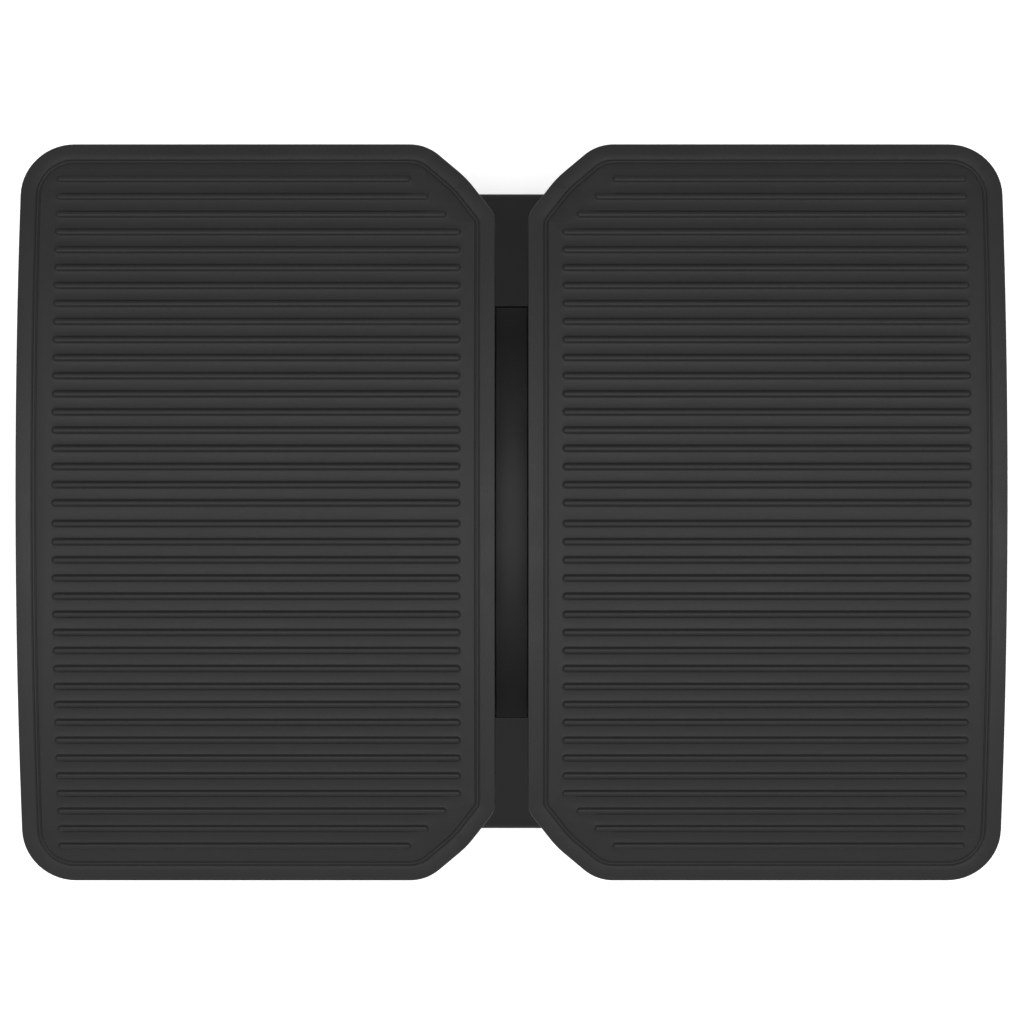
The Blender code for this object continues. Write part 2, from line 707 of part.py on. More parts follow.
def fin_profile():
    """Side view of the centre fin: a dome, then at each end a straight ramp down to a level shoulder."""
    foot_z = TRAY_TOP_Z + GAP
    height = FIN_TOP_Z - foot_z
    half = []
    for i in range(FIN_STEPS + 1):
        y = FIN_RAMP_START_Y * i / FIN_STEPS
        share = (1.0 - (y / FIN_DOME_REACH) ** FIN_POWER) ** (1.0 / FIN_POWER)
        half.append((y, foot_z + height * share))
    (y_before, z_before), (y_start, z_start) = half[-2:]
    slope = (z_before - z_start) / (y_start - y_before)
    half.append((y_start + (z_start - FIN_SHOULDER_Z) / slope, FIN_SHOULDER_Z))
    half.append((FIN_SHOULDER_END_Y, FIN_SHOULDER_Z))
    half.append((FIN_SHOULDER_END_Y, foot_z))
    return half + [(-y, z) for y, z in reversed(half[1:])]


def fin_plinth():
    """Low wall from rail to rail that the fin stands on; its ends lean like the rails' inner faces."""
    foot_z = TRAY_TOP_Z + GAP
    lip_z = foot_z + RAIL_FOOT_LIP
    foot_y = RAIL_FOOT_Y - GAP
    top_y = foot_y + (RAIL_RIDGE_Y - RAIL_FOOT_Y) * (PLINTH_TOP_Z - lip_z) / (RAIL_RIDGE_Z - lip_z)
    half = [(foot_y, foot_z), (foot_y, lip_z), (top_y, PLINTH_TOP_Z)]
    outline = half + [(-y, z) for y, z in reversed(half)]
    return prism("fin_plinth", outline, -PLINTH_HALF_WIDTH, PLINTH_HALF_WIDTH, 'X')


def centre_fin():
    """Fin that carries the middle of the axle, on a plinth, with a boss on each side to space the plates."""
    fin = prism("centre_fin", fin_profile(), -FIN_HALF_THICKNESS, FIN_HALF_THICKNESS, 'X', 1, "base_plastic")
    soften(fin, FIN_EDGE_ROUND)
    combine(fin, fin_plinth(), 'UNION')
    boss_end = INNER_EAR_X - GAP - BUSH_FLANGE - GAP
    combine(fin, cylinder("fin_boss", -boss_end, boss_end, FIN_BOSS_RADIUS, (0.0, PIVOT_Z)), 'UNION')
    cut(fin, cylinder("fin_bore", -boss_end - PAST, boss_end + PAST, AXLE_RADIUS + GAP, (0.0, PIVOT_Z)))
    base_screw_holes(fin, "fin", 0.0, BASE_SCREW_TOP_Z + GAP)
    return fin


def tower(side):
    """Upright at the outer end of the axle; it also holds the index plunger."""
    name = side_name(side) + "_tower"
    foot_z = TRAY_TOP_Z + GAP
    shoulder_z = foot_z + TOWER_FOOT_HEIGHT
    half = TOWER_FOOT_HALF_LENGTH
    head = arc((0.0, PIVOT_Z), TOWER_TOP_RADIUS, TOWER_HEAD_START, math.pi - TOWER_HEAD_START, 10)
    outline = [(-half, foot_z), (half, foot_z), (half, shoulder_z)] + head + [(-half, shoulder_z)]
    outer_x = TOWER_X + TOWER_THICKNESS
    piece = prism(name, outline, TOWER_X, outer_x, 'X', side, "base_plastic")
    soften(piece, TOWER_EDGE_ROUND)
    bores = (("bore", PIVOT_Z, AXLE_RADIUS), ("plunger_bore", PIVOT_Z - INDEX_RADIUS, HOUSING_RADIUS))
    for label, z, radius in bores:
        cut(piece, cylinder(f"{name}_{label}", TOWER_X - PAST, outer_x + PAST, radius + GAP, (0.0, z), side))
    base_screw_holes(piece, name, 0.0, BASE_SCREW_TOP_Z + GAP)
    return piece


def axle():
    """Steel bar across the whole board, chamfered at both ends."""
    end = AXLE_HALF_LENGTH
    neck = AXLE_RADIUS - AXLE_CHAMFER
    profile = [
        (-end, 0.0), (-end, neck), (-end + AXLE_CHAMFER, AXLE_RADIUS),
        (end - AXLE_CHAMFER, AXLE_RADIUS), (end, neck), (end, 0.0),
    ]
    return turned("axle", profile, (0.0, PIVOT_Z), 1, "bright_steel")


def axle_cap(side):
    """Domed cap pushed on the end of the axle outside the tower."""
    inner = TOWER_X + TOWER_THICKNESS + GAP
    floor = AXLE_HALF_LENGTH + GAP
    bore = AXLE_RADIUS + GAP
    profile = [
        (inner, bore), (inner, AXLE_CAP_RADIUS), (floor, AXLE_CAP_RADIUS),
        (floor + AXLE_CAP_DOME * 0.62, AXLE_CAP_RADIUS * 0.85),
        (floor + AXLE_CAP_DOME * 0.94, AXLE_CAP_RADIUS * 0.5),
        (floor + AXLE_CAP_DOME, 0.0), (floor, 0.0), (floor, bore),
    ]
    return turned(side_name(side) + "_axle_cap", profile, (0.0, PIVOT_Z), side, "black_steel")


def foot(name, x, y):
    """Round rubber foot set in a shallow recess under the tray."""
    top = TRAY_BOTTOM_Z + FOOT_RECESS
    face = FOOT_RADIUS - FOOT_EDGE
    profile = [(0.0, 0.0), (0.0, face), (FOOT_EDGE, FOOT_RADIUS), (top, FOOT_RADIUS), (top, 0.0)]
    return turned(name, profile, (x, y), 1, "foot_rubber", ROUND_STEPS, 'Z')


def base_screw(name, place):
    """Low-headed screw put in from below the tray."""
    head_top = TRAY_BOTTOM_Z - GAP
    head_bottom = head_top - BASE_SCREW_HEAD_HEIGHT
    profile = [
        (head_bottom, 0.0), (head_bottom, SCREW_HEAD_RADIUS), (head_top, SCREW_HEAD_RADIUS),
        (head_top, SCREW_RADIUS), (BASE_SCREW_TOP_Z, SCREW_RADIUS), (BASE_SCREW_TOP_Z, 0.0),
    ]
    return turned(name, profile, place, 1, "bright_steel", SMALL_STEPS, 'Z')


# -------------------------------------------------------------- index plungers

def plunger_housing(side):
    """Threaded body through the tower, with a hexagonal flange and a bore for the spring."""
    name = side_name(side) + "_plunger_housing"
    hex_low = TOWER_X + TOWER_THICKNESS + GAP
    profile = [
        (HOUSING_INNER_X, PIN_RADIUS + GAP), (HOUSING_INNER_X, HOUSING_RADIUS),
        (HOUSING_OUTER_X, HOUSING_RADIUS), (HOUSING_OUTER_X, HOUSING_BORE),
        (HOUSING_INNER_X + END_WALL, HOUSING_BORE), (HOUSING_INNER_X + END_WALL, PIN_RADIUS + GAP),
    ]
    centre = (0.0, PIVOT_Z - INDEX_RADIUS)
    body = turned(name, profile, centre, side, "bright_steel")
    hex_high = hex_low + HOUSING_HEX_WIDTH
    hexagon = cylinder(name + "_hexagon", hex_low, hex_high, HOUSING_HEX_RADIUS, centre, side, None, 6)
    core = (HOUSING_BORE + HOUSING_RADIUS) / 2.0
    cut(hexagon, cylinder(name + "_core", hex_low - PAST, hex_high + PAST, core, centre, side))
    combine(body, hexagon, 'UNION')
    return body


def plunger_end_nut(side):
    """Ring nut that closes the outer end of the housing and backs the spring."""
    low = HOUSING_OUTER_X + GAP
    high = low + END_WALL
    centre = (0.0, PIVOT_Z - INDEX_RADIUS)
    name = side_name(side) + "_plunger_end_nut"
    return tube(name, low, high, STEM_RADIUS + GAP, HOUSING_RADIUS, centre, side, "bright_steel")


def parked_collar():
    """Inner and outer faces of the pin's collar while the plunger is pulled out and parked."""
    inner = HOUSING_INNER_X + END_WALL + GAP + PLUNGER_TRAVEL
    return inner, inner + END_WALL


def knob_start():
    """Inner face of the knob while the plunger is parked, a full travel clear of the end nut."""
    return HOUSING_OUTER_X + GAP + END_WALL + GAP + PLUNGER_TRAVEL


def plunger_pin(side):
    """Index pin with its collar and the thin stem that runs out to the knob."""
    collar_low, collar_high = parked_collar()
    end = knob_start() + KNOB_LENGTH / 2.0
    tip = HOUSING_INNER_X
    profile = [
        (tip, 0.0), (tip, PIN_TIP_RADIUS), (tip + PIN_TIP_LENGTH, PIN_RADIUS),
        (collar_low, PIN_RADIUS), (collar_low, COLLAR_RADIUS), (collar_high, COLLAR_RADIUS),
        (collar_high, STEM_RADIUS), (end, STEM_RADIUS), (end, 0.0),
    ]
    centre = (0.0, PIVOT_Z - INDEX_RADIUS)
    return turned(side_name(side) + "_plunger_pin", profile, centre, side, "bright_steel", HOLE_STEPS)


def plunger_knob(side):
    """Mushroom knob on the stem, pulled outward to free the plate."""
    start = knob_start()
    end = start + KNOB_LENGTH
    hole = STEM_RADIUS + GAP
    hole_end = start + KNOB_LENGTH / 2.0 + GAP
    waist = KNOB_RADIUS * 0.62
    profile = [
        (start, hole), (start, waist), (start + KNOB_LENGTH * 0.35, waist),
        (start + KNOB_LENGTH * 0.55, KNOB_RADIUS * 0.97), (start + KNOB_LENGTH * 0.75, KNOB_RADIUS),
        (start + KNOB_LENGTH * 0.92, KNOB_RADIUS * 0.86), (end, KNOB_RADIUS * 0.55), (end, 0.0),
        (hole_end, 0.0), (hole_end, hole),
    ]
    centre = (0.0, PIVOT_Z - INDEX_RADIUS)
    return turned(side_name(side) + "_plunger_knob", profile, centre, side, "knob_plastic")


def plunger_spring(side):
    """Compression spring between the collar and the end nut: a helix of square-section wire."""
    low = parked_collar()[1] + GAP + SPRING_WIRE
    high = HOUSING_OUTER_X - SPRING_WIRE
    count = SPRING_TURNS * SPRING_STEPS_PER_TURN
    bm = bmesh.new()
    rings = []
    for i in range(count + 1):
        angle = math.tau * i / SPRING_STEPS_PER_TURN
        x = low + (high - low) * i / count
        ring = []
        for corner in range(4):
            turn = math.pi / 2.0 * corner
            radius = SPRING_RADIUS + SPRING_WIRE * math.cos(turn)
            y = radius * math.cos(angle)
            z = PIVOT_Z - INDEX_RADIUS + radius * math.sin(angle)
            ring.append(bm.verts.new((side * (x + SPRING_WIRE * math.sin(turn)), y, z)))
        rings.append(ring)
    for here, ahead in zip(rings, rings[1:]):
        for corner in range(4):
            following = (corner + 1) % 4
            bm.faces.new((here[corner], here[following], ahead[following], ahead[corner]))
    bm.faces.new(rings[0])
    bm.faces.new(rings[-1])
    return object_from(bm, side_name(side) + "_plunger_spring", "bright_steel", smooth=False)


# -------------------------------------------------------------------- assembly

def build_plate(side):
    """One foot plate with everything that tilts with it."""
    label = side_name(side)
    pieces = [plate_shell(side), foot_mat(side), inner_bracket(side), index_bracket(side)]
    pieces += bracket_screws(side)
    pieces.append(bush(side, label + "_inner_bush", INNER_EAR_X, True))
    pieces.append(bush(side, label + "_outer_bush", INDEX_EAR_X, False))
    pieces.append(friction_washer(side))
    ride(axis_empty(label + "_tilt_axis", Vector((0.0, 0.0, PIVOT_Z))), *pieces)


def build_plunger(side):
    """The fixed housing of one index plunger, and the pin and knob that slide in it."""
    plunger_housing(side)
    plunger_end_nut(side)
    slide = axis_empty(side_name(side) + "_plunger_axis", Vector((0.0, 0.0, PIVOT_Z - INDEX_RADIUS)))
    ride(slide, plunger_pin(side), plunger_knob(side), plunger_spring(side))


def build_base():
    base_tray()
    cross_rail("front_rail", -1)
    cross_rail("rear_rail", 1)
    centre_fin()
    axle()
    for side in (-1, 1):
        tower(side)
        axle_cap(side)
        for end, end_name in ((-1, "front"), (1, "rear")):
            label = side_name(side)
            foot(f"foot_{end_name}_{label}", side * FOOT_X, end * FOOT_Y)
            stop_pad_block(f"{end_name}_{label}_stop_pad", side, end, 0.0, "foot_rubber")
    for name, place in base_screw_places().items():
        base_screw(name, place)


def main():
    clear_scene()
    build_base()
    for side in (-1, 1):
        build_plate(side)
        build_plunger(side)


main()
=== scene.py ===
import json
import math

import bmesh
import bpy
from mathutils import Matrix, Vector


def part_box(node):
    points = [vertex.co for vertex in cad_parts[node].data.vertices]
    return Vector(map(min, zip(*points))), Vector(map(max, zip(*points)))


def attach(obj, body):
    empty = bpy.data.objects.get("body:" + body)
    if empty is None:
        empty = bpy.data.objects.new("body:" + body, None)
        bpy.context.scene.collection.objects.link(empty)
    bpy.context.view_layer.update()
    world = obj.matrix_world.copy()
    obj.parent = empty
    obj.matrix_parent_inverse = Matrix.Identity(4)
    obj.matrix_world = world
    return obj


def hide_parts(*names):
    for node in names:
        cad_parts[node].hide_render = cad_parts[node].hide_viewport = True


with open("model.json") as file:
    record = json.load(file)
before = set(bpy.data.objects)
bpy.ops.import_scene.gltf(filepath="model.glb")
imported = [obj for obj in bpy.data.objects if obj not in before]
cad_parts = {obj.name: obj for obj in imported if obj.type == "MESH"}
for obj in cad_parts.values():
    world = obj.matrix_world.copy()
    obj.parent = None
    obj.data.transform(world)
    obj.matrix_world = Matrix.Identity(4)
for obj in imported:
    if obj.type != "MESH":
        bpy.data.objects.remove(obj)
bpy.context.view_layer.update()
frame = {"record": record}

# Sizes that the frame's boxes don't give, in metres. The big ones repeat the CAD's own;
# the grooves, the ribs' sides and the edge rounds are finer here than in the CAD.
PLATE_CORNER_RADIUS = 0.027
CROWN_RADIUS = 1.335
SHELL_DEPTH = 0.017
SHELL_CEILING = 0.0078
SKIRT = 0.005
MAT_INSET = 0.008
MAT_THICKNESS = 0.003
LAND_RIB_X = 0.131
LAND_RIB_WIDTH = 0.008
BAND_HALF_LENGTH = 0.038

SEAM_INSET = MAT_INSET + 0.0003
SEAM_WIDTH = 0.00006
GROOVE_HALF_WIDTH = 0.0007
GROOVE_DEPTH = 0.00045
SECOND_GROOVE_INSET = 0.0101
SECOND_GROOVE_DEPTH = GROOVE_DEPTH * 1.2

RIBS_PER_HALF = 19
FIRST_RIB_Y = 0.00528
RIB_PITCH = 0.00931
RIB_WIDTH = 0.0045
CAD_RIB_WIDTH = 0.0039
RIB_TOP_WIDTH = 0.0012
RIB_HEIGHT = 0.0014
RIB_CROWN = 0.0001
RIB_INNER_X = 0.026
RIB_OUTER_X = 0.2354
RIB_CHAMFER_OFFSET = 0.1208

BASE_CORNER_RADIUS = 0.030
RAIL_RIDGE_Y = 0.1132
RAIL_SLOPE_POWER = 1.5
RAIL_SLOPE_END_Y = 0.1785
RAIL_END_Z = 0.0105
RAIL_FOOT_LIP = 0.001
RIDGE_SOFTNESS = 0.0007
FIN_DOME_REACH = 0.093
FIN_RAMP_START_Y = 0.058
FIN_SHOULDER_Z = 0.065
FIN_SHOULDER_END_Y = 0.1099
FIN_POWER = 2.5
FIN_HALF_THICKNESS = 0.0082
FIN_ROUND = 0.0003
FIN_BOSS_RADIUS = 0.011
PLINTH_HALF_WIDTH = 0.012
PLINTH_TOP_Z = 0.040
AXLE_BORE_RADIUS = 0.0063
BUSH_HOLE_RADIUS = 0.009
HOUSING_RADIUS = 0.0065
SCREW_HOLE_RADIUS = 0.0023
INDEX_RADIUS = 0.050
INDEX_HOLE_RADIUS = 0.0034
INDEX_ANGLES = (-20, -10, 0, 10, 20)
SECTOR_RADIUS = 0.058
HANGER_THICKNESS = 0.004
HANGER_BEND = 0.007
HANGER_HALF_WIDTH = 0.032
TOWER_LEAN = math.radians(20.0)
PAD_SLOPE = math.radians(25.3)
THREAD_PITCH = 0.00075
THREAD_DEPTH = 0.0004
GAP = 0.0003

TURN_STEPS = 64


def high(node):
    """Upper corner of a node's box."""
    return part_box(node)[1]


def low(node):
    """Lower corner of a node's box."""
    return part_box(node)[0]


PLATE_INNER_X = low("right_plate_shell").x
PLATE_OUTER_X = high("right_plate_shell").x
PLATE_HALF_LENGTH = high("right_plate_shell").y
PLATE_TOP_Z = high("right_plate_shell").z
# The three rounded corners of each cut: x, y and radius, from the plate's end to its inner edge.
CUT_CORNERS = (
    (0.0443, PLATE_HALF_LENGTH, 0.0234),
    (0.0232, 0.1734, 0.055),
    (PLATE_INNER_X, 0.1542, 0.013),
)
RAIL_FOOT_Y = abs(high("front_rail").y)
RAIL_END_Y = abs(low("front_rail").y)
RAIL_LIP_Z = low("front_rail").z + RAIL_FOOT_LIP
RAIL_RIDGE_Z = high("front_rail").z
PIVOT_Z = (low("axle").z + high("axle").z) / 2.0
PLUNGER_Z = PIVOT_Z - INDEX_RADIUS


def side_name(side):
    return "right" if side > 0 else "left"


# ---------------------------------------------------------------- shape tools

def object_from(bm, name, sharp_degrees=32.0):
    """A linked object from a bmesh, faces outward and smooth but for its sharp edges."""
    bmesh.ops.recalc_face_normals(bm, faces=bm.faces[:])
    mesh = bpy.data.meshes.new(name)
    bm.to_mesh(mesh)
    bm.free()
    mesh.shade_smooth()
    mesh.set_sharp_from_angle(angle=math.radians(sharp_degrees))
    obj = bpy.data.objects.new(name, mesh)
    bpy.context.collection.objects.link(obj)
    return obj


def apply_all(obj, sharp_degrees=32.0):
    """Turn an object's modifiers into its mesh."""
    graph = bpy.context.evaluated_depsgraph_get()
    graph.update()
    mesh = bpy.data.meshes.new_from_object(obj.evaluated_get(graph))
    obj.modifiers.clear()
    obj.data = mesh
    mesh.shade_smooth()
    mesh.set_sharp_from_angle(angle=math.radians(sharp_degrees))
    return obj


def combine(obj, others, operation):
    """Exact Booleans with other objects, which are then removed."""
    for other in others:
        modifier = obj.modifiers.new("combine", 'BOOLEAN')
        modifier.operation = operation
        modifier.solver = 'EXACT'
        modifier.object = other
        apply_all(obj)
        bpy.data.objects.remove(other, do_unlink=True)
    return obj


def soften(obj, width, segments=3, angle=40.0):
    """Round the sharp edges of a piece."""
    modifier = obj.modifiers.new("round_edges", 'BEVEL')
    modifier.width = width
    modifier.segments = segments
    modifier.limit_method = 'ANGLE'
    modifier.angle_limit = math.radians(angle)
    modifier.use_clamp_overlap = True
    modifier.harden_normals = True
    return apply_all(obj, 60.0)


def prism(name, outline, start, end, axis='Z', side=1):
    """Extrude a closed outline: (x, y) along Z, (y, z) along X, or (x, z) along Y."""
    bm = bmesh.new()
    if axis == 'Z':
        points = [(side * x, y, start) for x, y in outline]
        shift = (0.0, 0.0, end - start)
    elif axis == 'X':
        points = [(side * start, y, z) for y, z in outline]
        shift = (side * (end - start), 0.0, 0.0)
    else:
        points = [(side * x, start, z) for x, z in outline]
        shift = (0.0, end - start, 0.0)
    face = bm.faces.new([bm.verts.new(point) for point in points])
    grown = bmesh.ops.extrude_face_region(bm, geom=[face])["geom"]
    verts = [item for item in grown if isinstance(item, bmesh.types.BMVert)]
    bmesh.ops.translate(bm, verts=verts, vec=shift)
    return object_from(bm, name)


def turned(name, profile, centre, side=1, axis='X', steps=TURN_STEPS):
    """Turn a closed (axial, radius) profile about a line through centre along X or Z."""
    bm = bmesh.new()
    if axis == 'X':
        places = [(side * along, centre[0], centre[1] + radius) for along, radius in profile]
        middle = (0.0, centre[0], centre[1])
        line = (1.0, 0.0, 0.0)
    else:
        places = [(centre[0] + radius, centre[1], along) for along, radius in profile]
        middle = (centre[0], centre[1], 0.0)
        line = (0.0, 0.0, 1.0)
    verts = [bm.verts.new(place) for place in places]
    on_axis = [radius == 0.0 for _, radius in profile]
    edges = []
    for i in range(len(verts)):
        j = (i + 1) % len(verts)
        if not (on_axis[i] and on_axis[j]):
            edges.append(bm.edges.new((verts[i], verts[j])))
    bmesh.ops.spin(bm, geom=edges, cent=middle, axis=line, angle=math.tau, steps=steps, use_merge=True)
    bmesh.ops.remove_doubles(bm, verts=bm.verts[:], dist=1e-6)
    return object_from(bm, name)


def rounded_profile(profile, radius, steps=3):
    """Round the corners of a turned piece's profile that don't lie on its axis."""
    points = []
    count = len(profile)
    for i, corner in enumerate(profile):
        here = Vector(corner)
        back = Vector(profile[i - 1]) - here
        ahead = Vector(profile[(i + 1) % count]) - here
        if corner[1] == 0.0:
            points.append(corner)
            continue
        reach = min(radius, back.length * 0.45, ahead.length * 0.45)
        start = here + back.normalized() * reach
        end = here + ahead.normalized() * reach
        for k in range(steps + 1):
            t = k / steps
            point = start * (1.0 - t) ** 2 + here * 2.0 * t * (1.0 - t) + end * t ** 2
            points.append((point.x, point.y))
    return points


def arc(centre, radius, start, end, steps):
    """Points on an arc from one angle to another."""
    angles = [start + (end - start) * i / steps for i in range(steps + 1)]
    return [(centre[0] + radius * math.cos(a), centre[1] + radius * math.sin(a)) for a in angles]


def rounded_polygon(corners, radii, steps=14):
    """Replace each corner of a convex polygon by an arc of its own radius."""
    points = []
    for i, corner in enumerate(corners):
        here = Vector(corner)
        back = (Vector(corners[i - 1]) - here).normalized()
        ahead = (Vector(corners[(i + 1) % len(corners)]) - here).normalized()
        half = back.angle(ahead) / 2.0
        radius = radii[i]
        centre = here + (back + ahead).normalized() * (radius / math.sin(half))
        start = here + back * (radius / math.tan(half)) - centre
        sweep = math.pi - 2.0 * half
        turn = 1.0 if back.x * ahead.y - back.y * ahead.x < 0.0 else -1.0
        for k in range(steps + 1):
            points.append(tuple(centre + Matrix.Rotation(turn * sweep * k / steps, 2) @ start))
    return points


def rectangle(x_low, x_high, y_low, y_high):
    """The four corners of a rectangle, anticlockwise."""
    return [(x_low, y_low), (x_high, y_low), (x_high, y_high), (x_low, y_high)]


def ring_loft(bm, rings):
    """Join rings of equal count by quads; returns their vertices."""
    made = [[bm.verts.new(point) for point in ring] for ring in rings]
    for here, ahead in zip(made, made[1:]):
        for i in range(len(here)):
            j = (i + 1) % len(here)
            bm.faces.new((here[i], here[j], ahead[j], ahead[i]))
    return made


def edges_round(bm, ring):
    """The edges along a closed ring of vertices."""
    return [bm.edges.get((ring[i], ring[i - 1])) for i in range(len(ring))]


def slice_across(bm, positions):
    """Cut a whole mesh at planes across Y, so that it can be curved along that axis."""
    direction = Vector((0.0, 1.0, 0.0))
    for position in positions:
        everything = bm.verts[:] + bm.edges[:] + bm.faces[:]
        spot = direction * position
        bmesh.ops.bisect_plane(bm, geom=everything, dist=0.000002, plane_co=spot, plane_no=direction)


def shaft(start, end, radius):
    """Profile of a plain solid shaft."""
    return [(start, 0.0), (start, radius), (end, radius), (end, 0.0)]


def sleeve(start, end, bore, radius):
    """Profile of a plain ring."""
    return [(start, bore), (start, radius), (end, radius), (end, bore)]


def middle_of(node):
    """Centre of a node in plan."""
    box_low, box_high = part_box(node)
    return ((box_low.x + box_high.x) / 2.0, (box_low.y + box_high.y) / 2.0)


def half_width(node):
    """Half a node's size along X."""
    return (high(node).x - low(node).x) / 2.0


def bored(obj, radius, height):
    """Cut a round hole right across a piece, along X through the middle at a given height."""
    beyond = 0.3
    cutter = turned("bore", shaft(-beyond, beyond, radius), (0.0, height))
    return combine(obj, [cutter], 'DIFFERENCE')


def upright_cutter(node, radius, steps):
    """A round cutter along Z round a node, from just below it to a gap above it."""
    profile = shaft(low(node).z - 0.001, high(node).z + GAP, radius)
    return turned("upright_cutter", profile, middle_of(node), 1, 'Z', steps)


def screw_holes(obj, screws):
    """Cut a clearance hole, upward along Z, for each screw that enters a piece."""
    cutters = [upright_cutter(screw, SCREW_HOLE_RADIUS, 24) for screw in screws]
    return combine(obj, cutters, 'DIFFERENCE')


# ---------------------------------------------------------------- foot plates

def crown_drop(y):
    """How far the crowned top has fallen at a distance y from the middle."""
    return CROWN_RADIUS - math.sqrt(CROWN_RADIUS ** 2 - y * y)


def inset_polygon(corners, inset):
    """Corners of a polygon, counted anticlockwise, whose edges have all moved inward by inset."""
    moved = []
    for i, corner in enumerate(corners):
        here = Vector(corner)
        arrive = (here - Vector(corners[i - 1])).normalized().orthogonal()
        leave = (Vector(corners[(i + 1) % len(corners)]) - here).normalized().orthogonal()
        moved.append(here + (arrive + leave) * (inset / (1.0 + arrive.dot(leave))))
    return moved


def plate_corners(inset):
    """A foot plate's corners, drawn in by inset, and their radii: two outer, then six inner."""
    rear = list(CUT_CORNERS)
    front = [(x, -y, radius) for x, y, radius in reversed(CUT_CORNERS)]
    outer = [(PLATE_OUTER_X, end * PLATE_HALF_LENGTH, PLATE_CORNER_RADIUS) for end in (-1, 1)]
    corners = outer + rear + front
    places = inset_polygon([(x, y) for x, y, _ in corners], inset)
    return places, [radius - inset for _, _, radius in corners]


def plate_outline(inset):
    """Plan of a foot plate drawn in by inset, with its corners rounded."""
    places, radii = plate_corners(inset)
    return rounded_polygon(places, radii)


def plate_ring(side, inset, height):
    """One level line of a foot plate, drawn in by inset."""
    return [(side * x, y, height) for x, y in plate_outline(inset)]


def quarter_turn(steps):
    """Angles from 0 to a right angle."""
    return [math.pi / 2.0 * i / steps for i in range(steps + 1)]


def valley(inset, depth):
    """Section of a soft groove in a plate's top: four points down, the bottom, four points up."""
    points = []
    for i in range(-4, 5):
        share = i / 4.0
        fall = depth * math.cos(math.pi / 2.0 * share) ** 2
        points.append((inset + GROOVE_HALF_WIDTH * share, -fall))
    return points


def rib_rows():
    """Positive y of each rib in one half."""
    return [FIRST_RIB_Y + i * RIB_PITCH for i in range(RIBS_PER_HALF)]


def crown_slices():
    """Planes midway between the ribs, and on through the borders at both ends."""
    planes = [FIRST_RIB_Y + (i + 0.5) * RIB_PITCH for i in range(RIBS_PER_HALF + 1)]
    return [-y for y in reversed(planes)] + [0.0] + planes


def crown(bm):
    """Bend a flat plate, whose top is at height 0, to the crown and lift it into place."""
    for vert in bm.verts:
        vert.co.z += PLATE_TOP_Z - crown_drop(vert.co.y)


def shell_piece(side):
    """Moulded shell: round-edged rim, recess for the mat, and skirt, pockets and screw holes below."""
    name = side_name(side) + "_shell_moulding"
    bm = bmesh.new()
    bottom = -SHELL_DEPTH
    edge = 0.0006
    section = [(0.0016, bottom), (0.0006, bottom + 0.0003)]
    section += [(0.0001, bottom + 0.0010), (0.0, bottom + 0.0020)]
    section += [(edge - edge * math.cos(a), edge * math.sin(a) - edge) for a in quarter_turn(6)]
    section += valley(SEAM_INSET - SEAM_WIDTH / 2.0, GROOVE_DEPTH)[:5]
    section.append((SEAM_INSET - SEAM_WIDTH / 2.0, -MAT_THICKNESS - GAP))
    rings = ring_loft(bm, [plate_ring(side, inset, height) for inset, height in section])
    bm.faces.new(rings[0])
    bm.faces.new(rings[-1])
    shell = object_from(bm, name)
    combine(shell, shell_cutters(side), 'DIFFERENCE')
    bm = bmesh.new()
    bm.from_mesh(shell.data)
    slice_across(bm, crown_slices())
    crown(bm)
    bm.to_mesh(shell.data)
    bm.free()
    kinds = [f"{side_name(side)}_{kind}_bracket_screw_" for kind in ("inner", "index")]
    return screw_holes(shell, [kind + number for kind in kinds for number in "12"])


def shell_cutters(side):
    """The four pockets under the shell, and the level band where the hangers are screwed on."""
    x_low = PLATE_INNER_X + SKIRT
    x_high = PLATE_OUTER_X - SKIRT
    x_rib = LAND_RIB_X - LAND_RIB_WIDTH / 2.0
    x_rib_end = LAND_RIB_X + LAND_RIB_WIDTH / 2.0
    y_low = BAND_HALF_LENGTH
    y_high = PLATE_HALF_LENGTH - SKIRT
    places, radii = plate_corners(SKIRT)
    plain = 0.004
    inner_pocket = (
        [(x_low, y_low), (x_rib, y_low), (x_rib, y_high)] + places[2:5],
        [plain, plain, plain] + radii[2:5],
    )
    outer_pocket = (
        [(x_rib_end, y_low), (x_high, y_low), (x_high, y_high), (x_rib_end, y_high)],
        [plain, plain, PLATE_CORNER_RADIUS - SKIRT, plain],
    )
    cutters = []
    for end in (-1, 1):
        for corners, corner_radii in (inner_pocket, outer_pocket):
            outline = rounded_polygon([(x, end * y) for x, y in corners], corner_radii, 6)
            cutters.append(prism("pocket", outline, -SHELL_DEPTH - 0.01, -SHELL_CEILING, 'Z', side))
    band = rectangle(x_low + 0.003, x_high - 0.003, -y_low + 0.003, y_low - 0.003)
    cutters.append(prism("band", band, -SHELL_DEPTH - 0.01, -SHELL_DEPTH + 0.0008, 'Z', side))
    return cutters


def rib_section():
    """Half a rib's section from its foot to near its top: distance from the middle, and height."""
    steps = 9
    foot = RIB_WIDTH / 2.0
    shoulder = RIB_TOP_WIDTH / 2.0
    points = []
    for i in range(steps + 1):
        share = i / steps
        rise = share * share * (3.0 - 2.0 * share)
        points.append((foot + (shoulder - foot) * share, (RIB_HEIGHT - RIB_CROWN) * rise))
    points.append((shoulder * 0.5, RIB_HEIGHT - RIB_CROWN * 0.25))
    return points


def rib_loop(side, y, inner, outer, radius, height):
    """One level line of a rib: a slot shape with round ends."""
    reach = RIB_WIDTH / 2.0
    steps = 8
    left = arc((inner + reach, 0.0), radius, math.pi / 2.0, math.pi * 1.5, steps)
    right = arc((outer - reach, 0.0), radius, -math.pi / 2.0, math.pi / 2.0, steps)
    return [(side * px, y + py, height) for px, py in left + right]


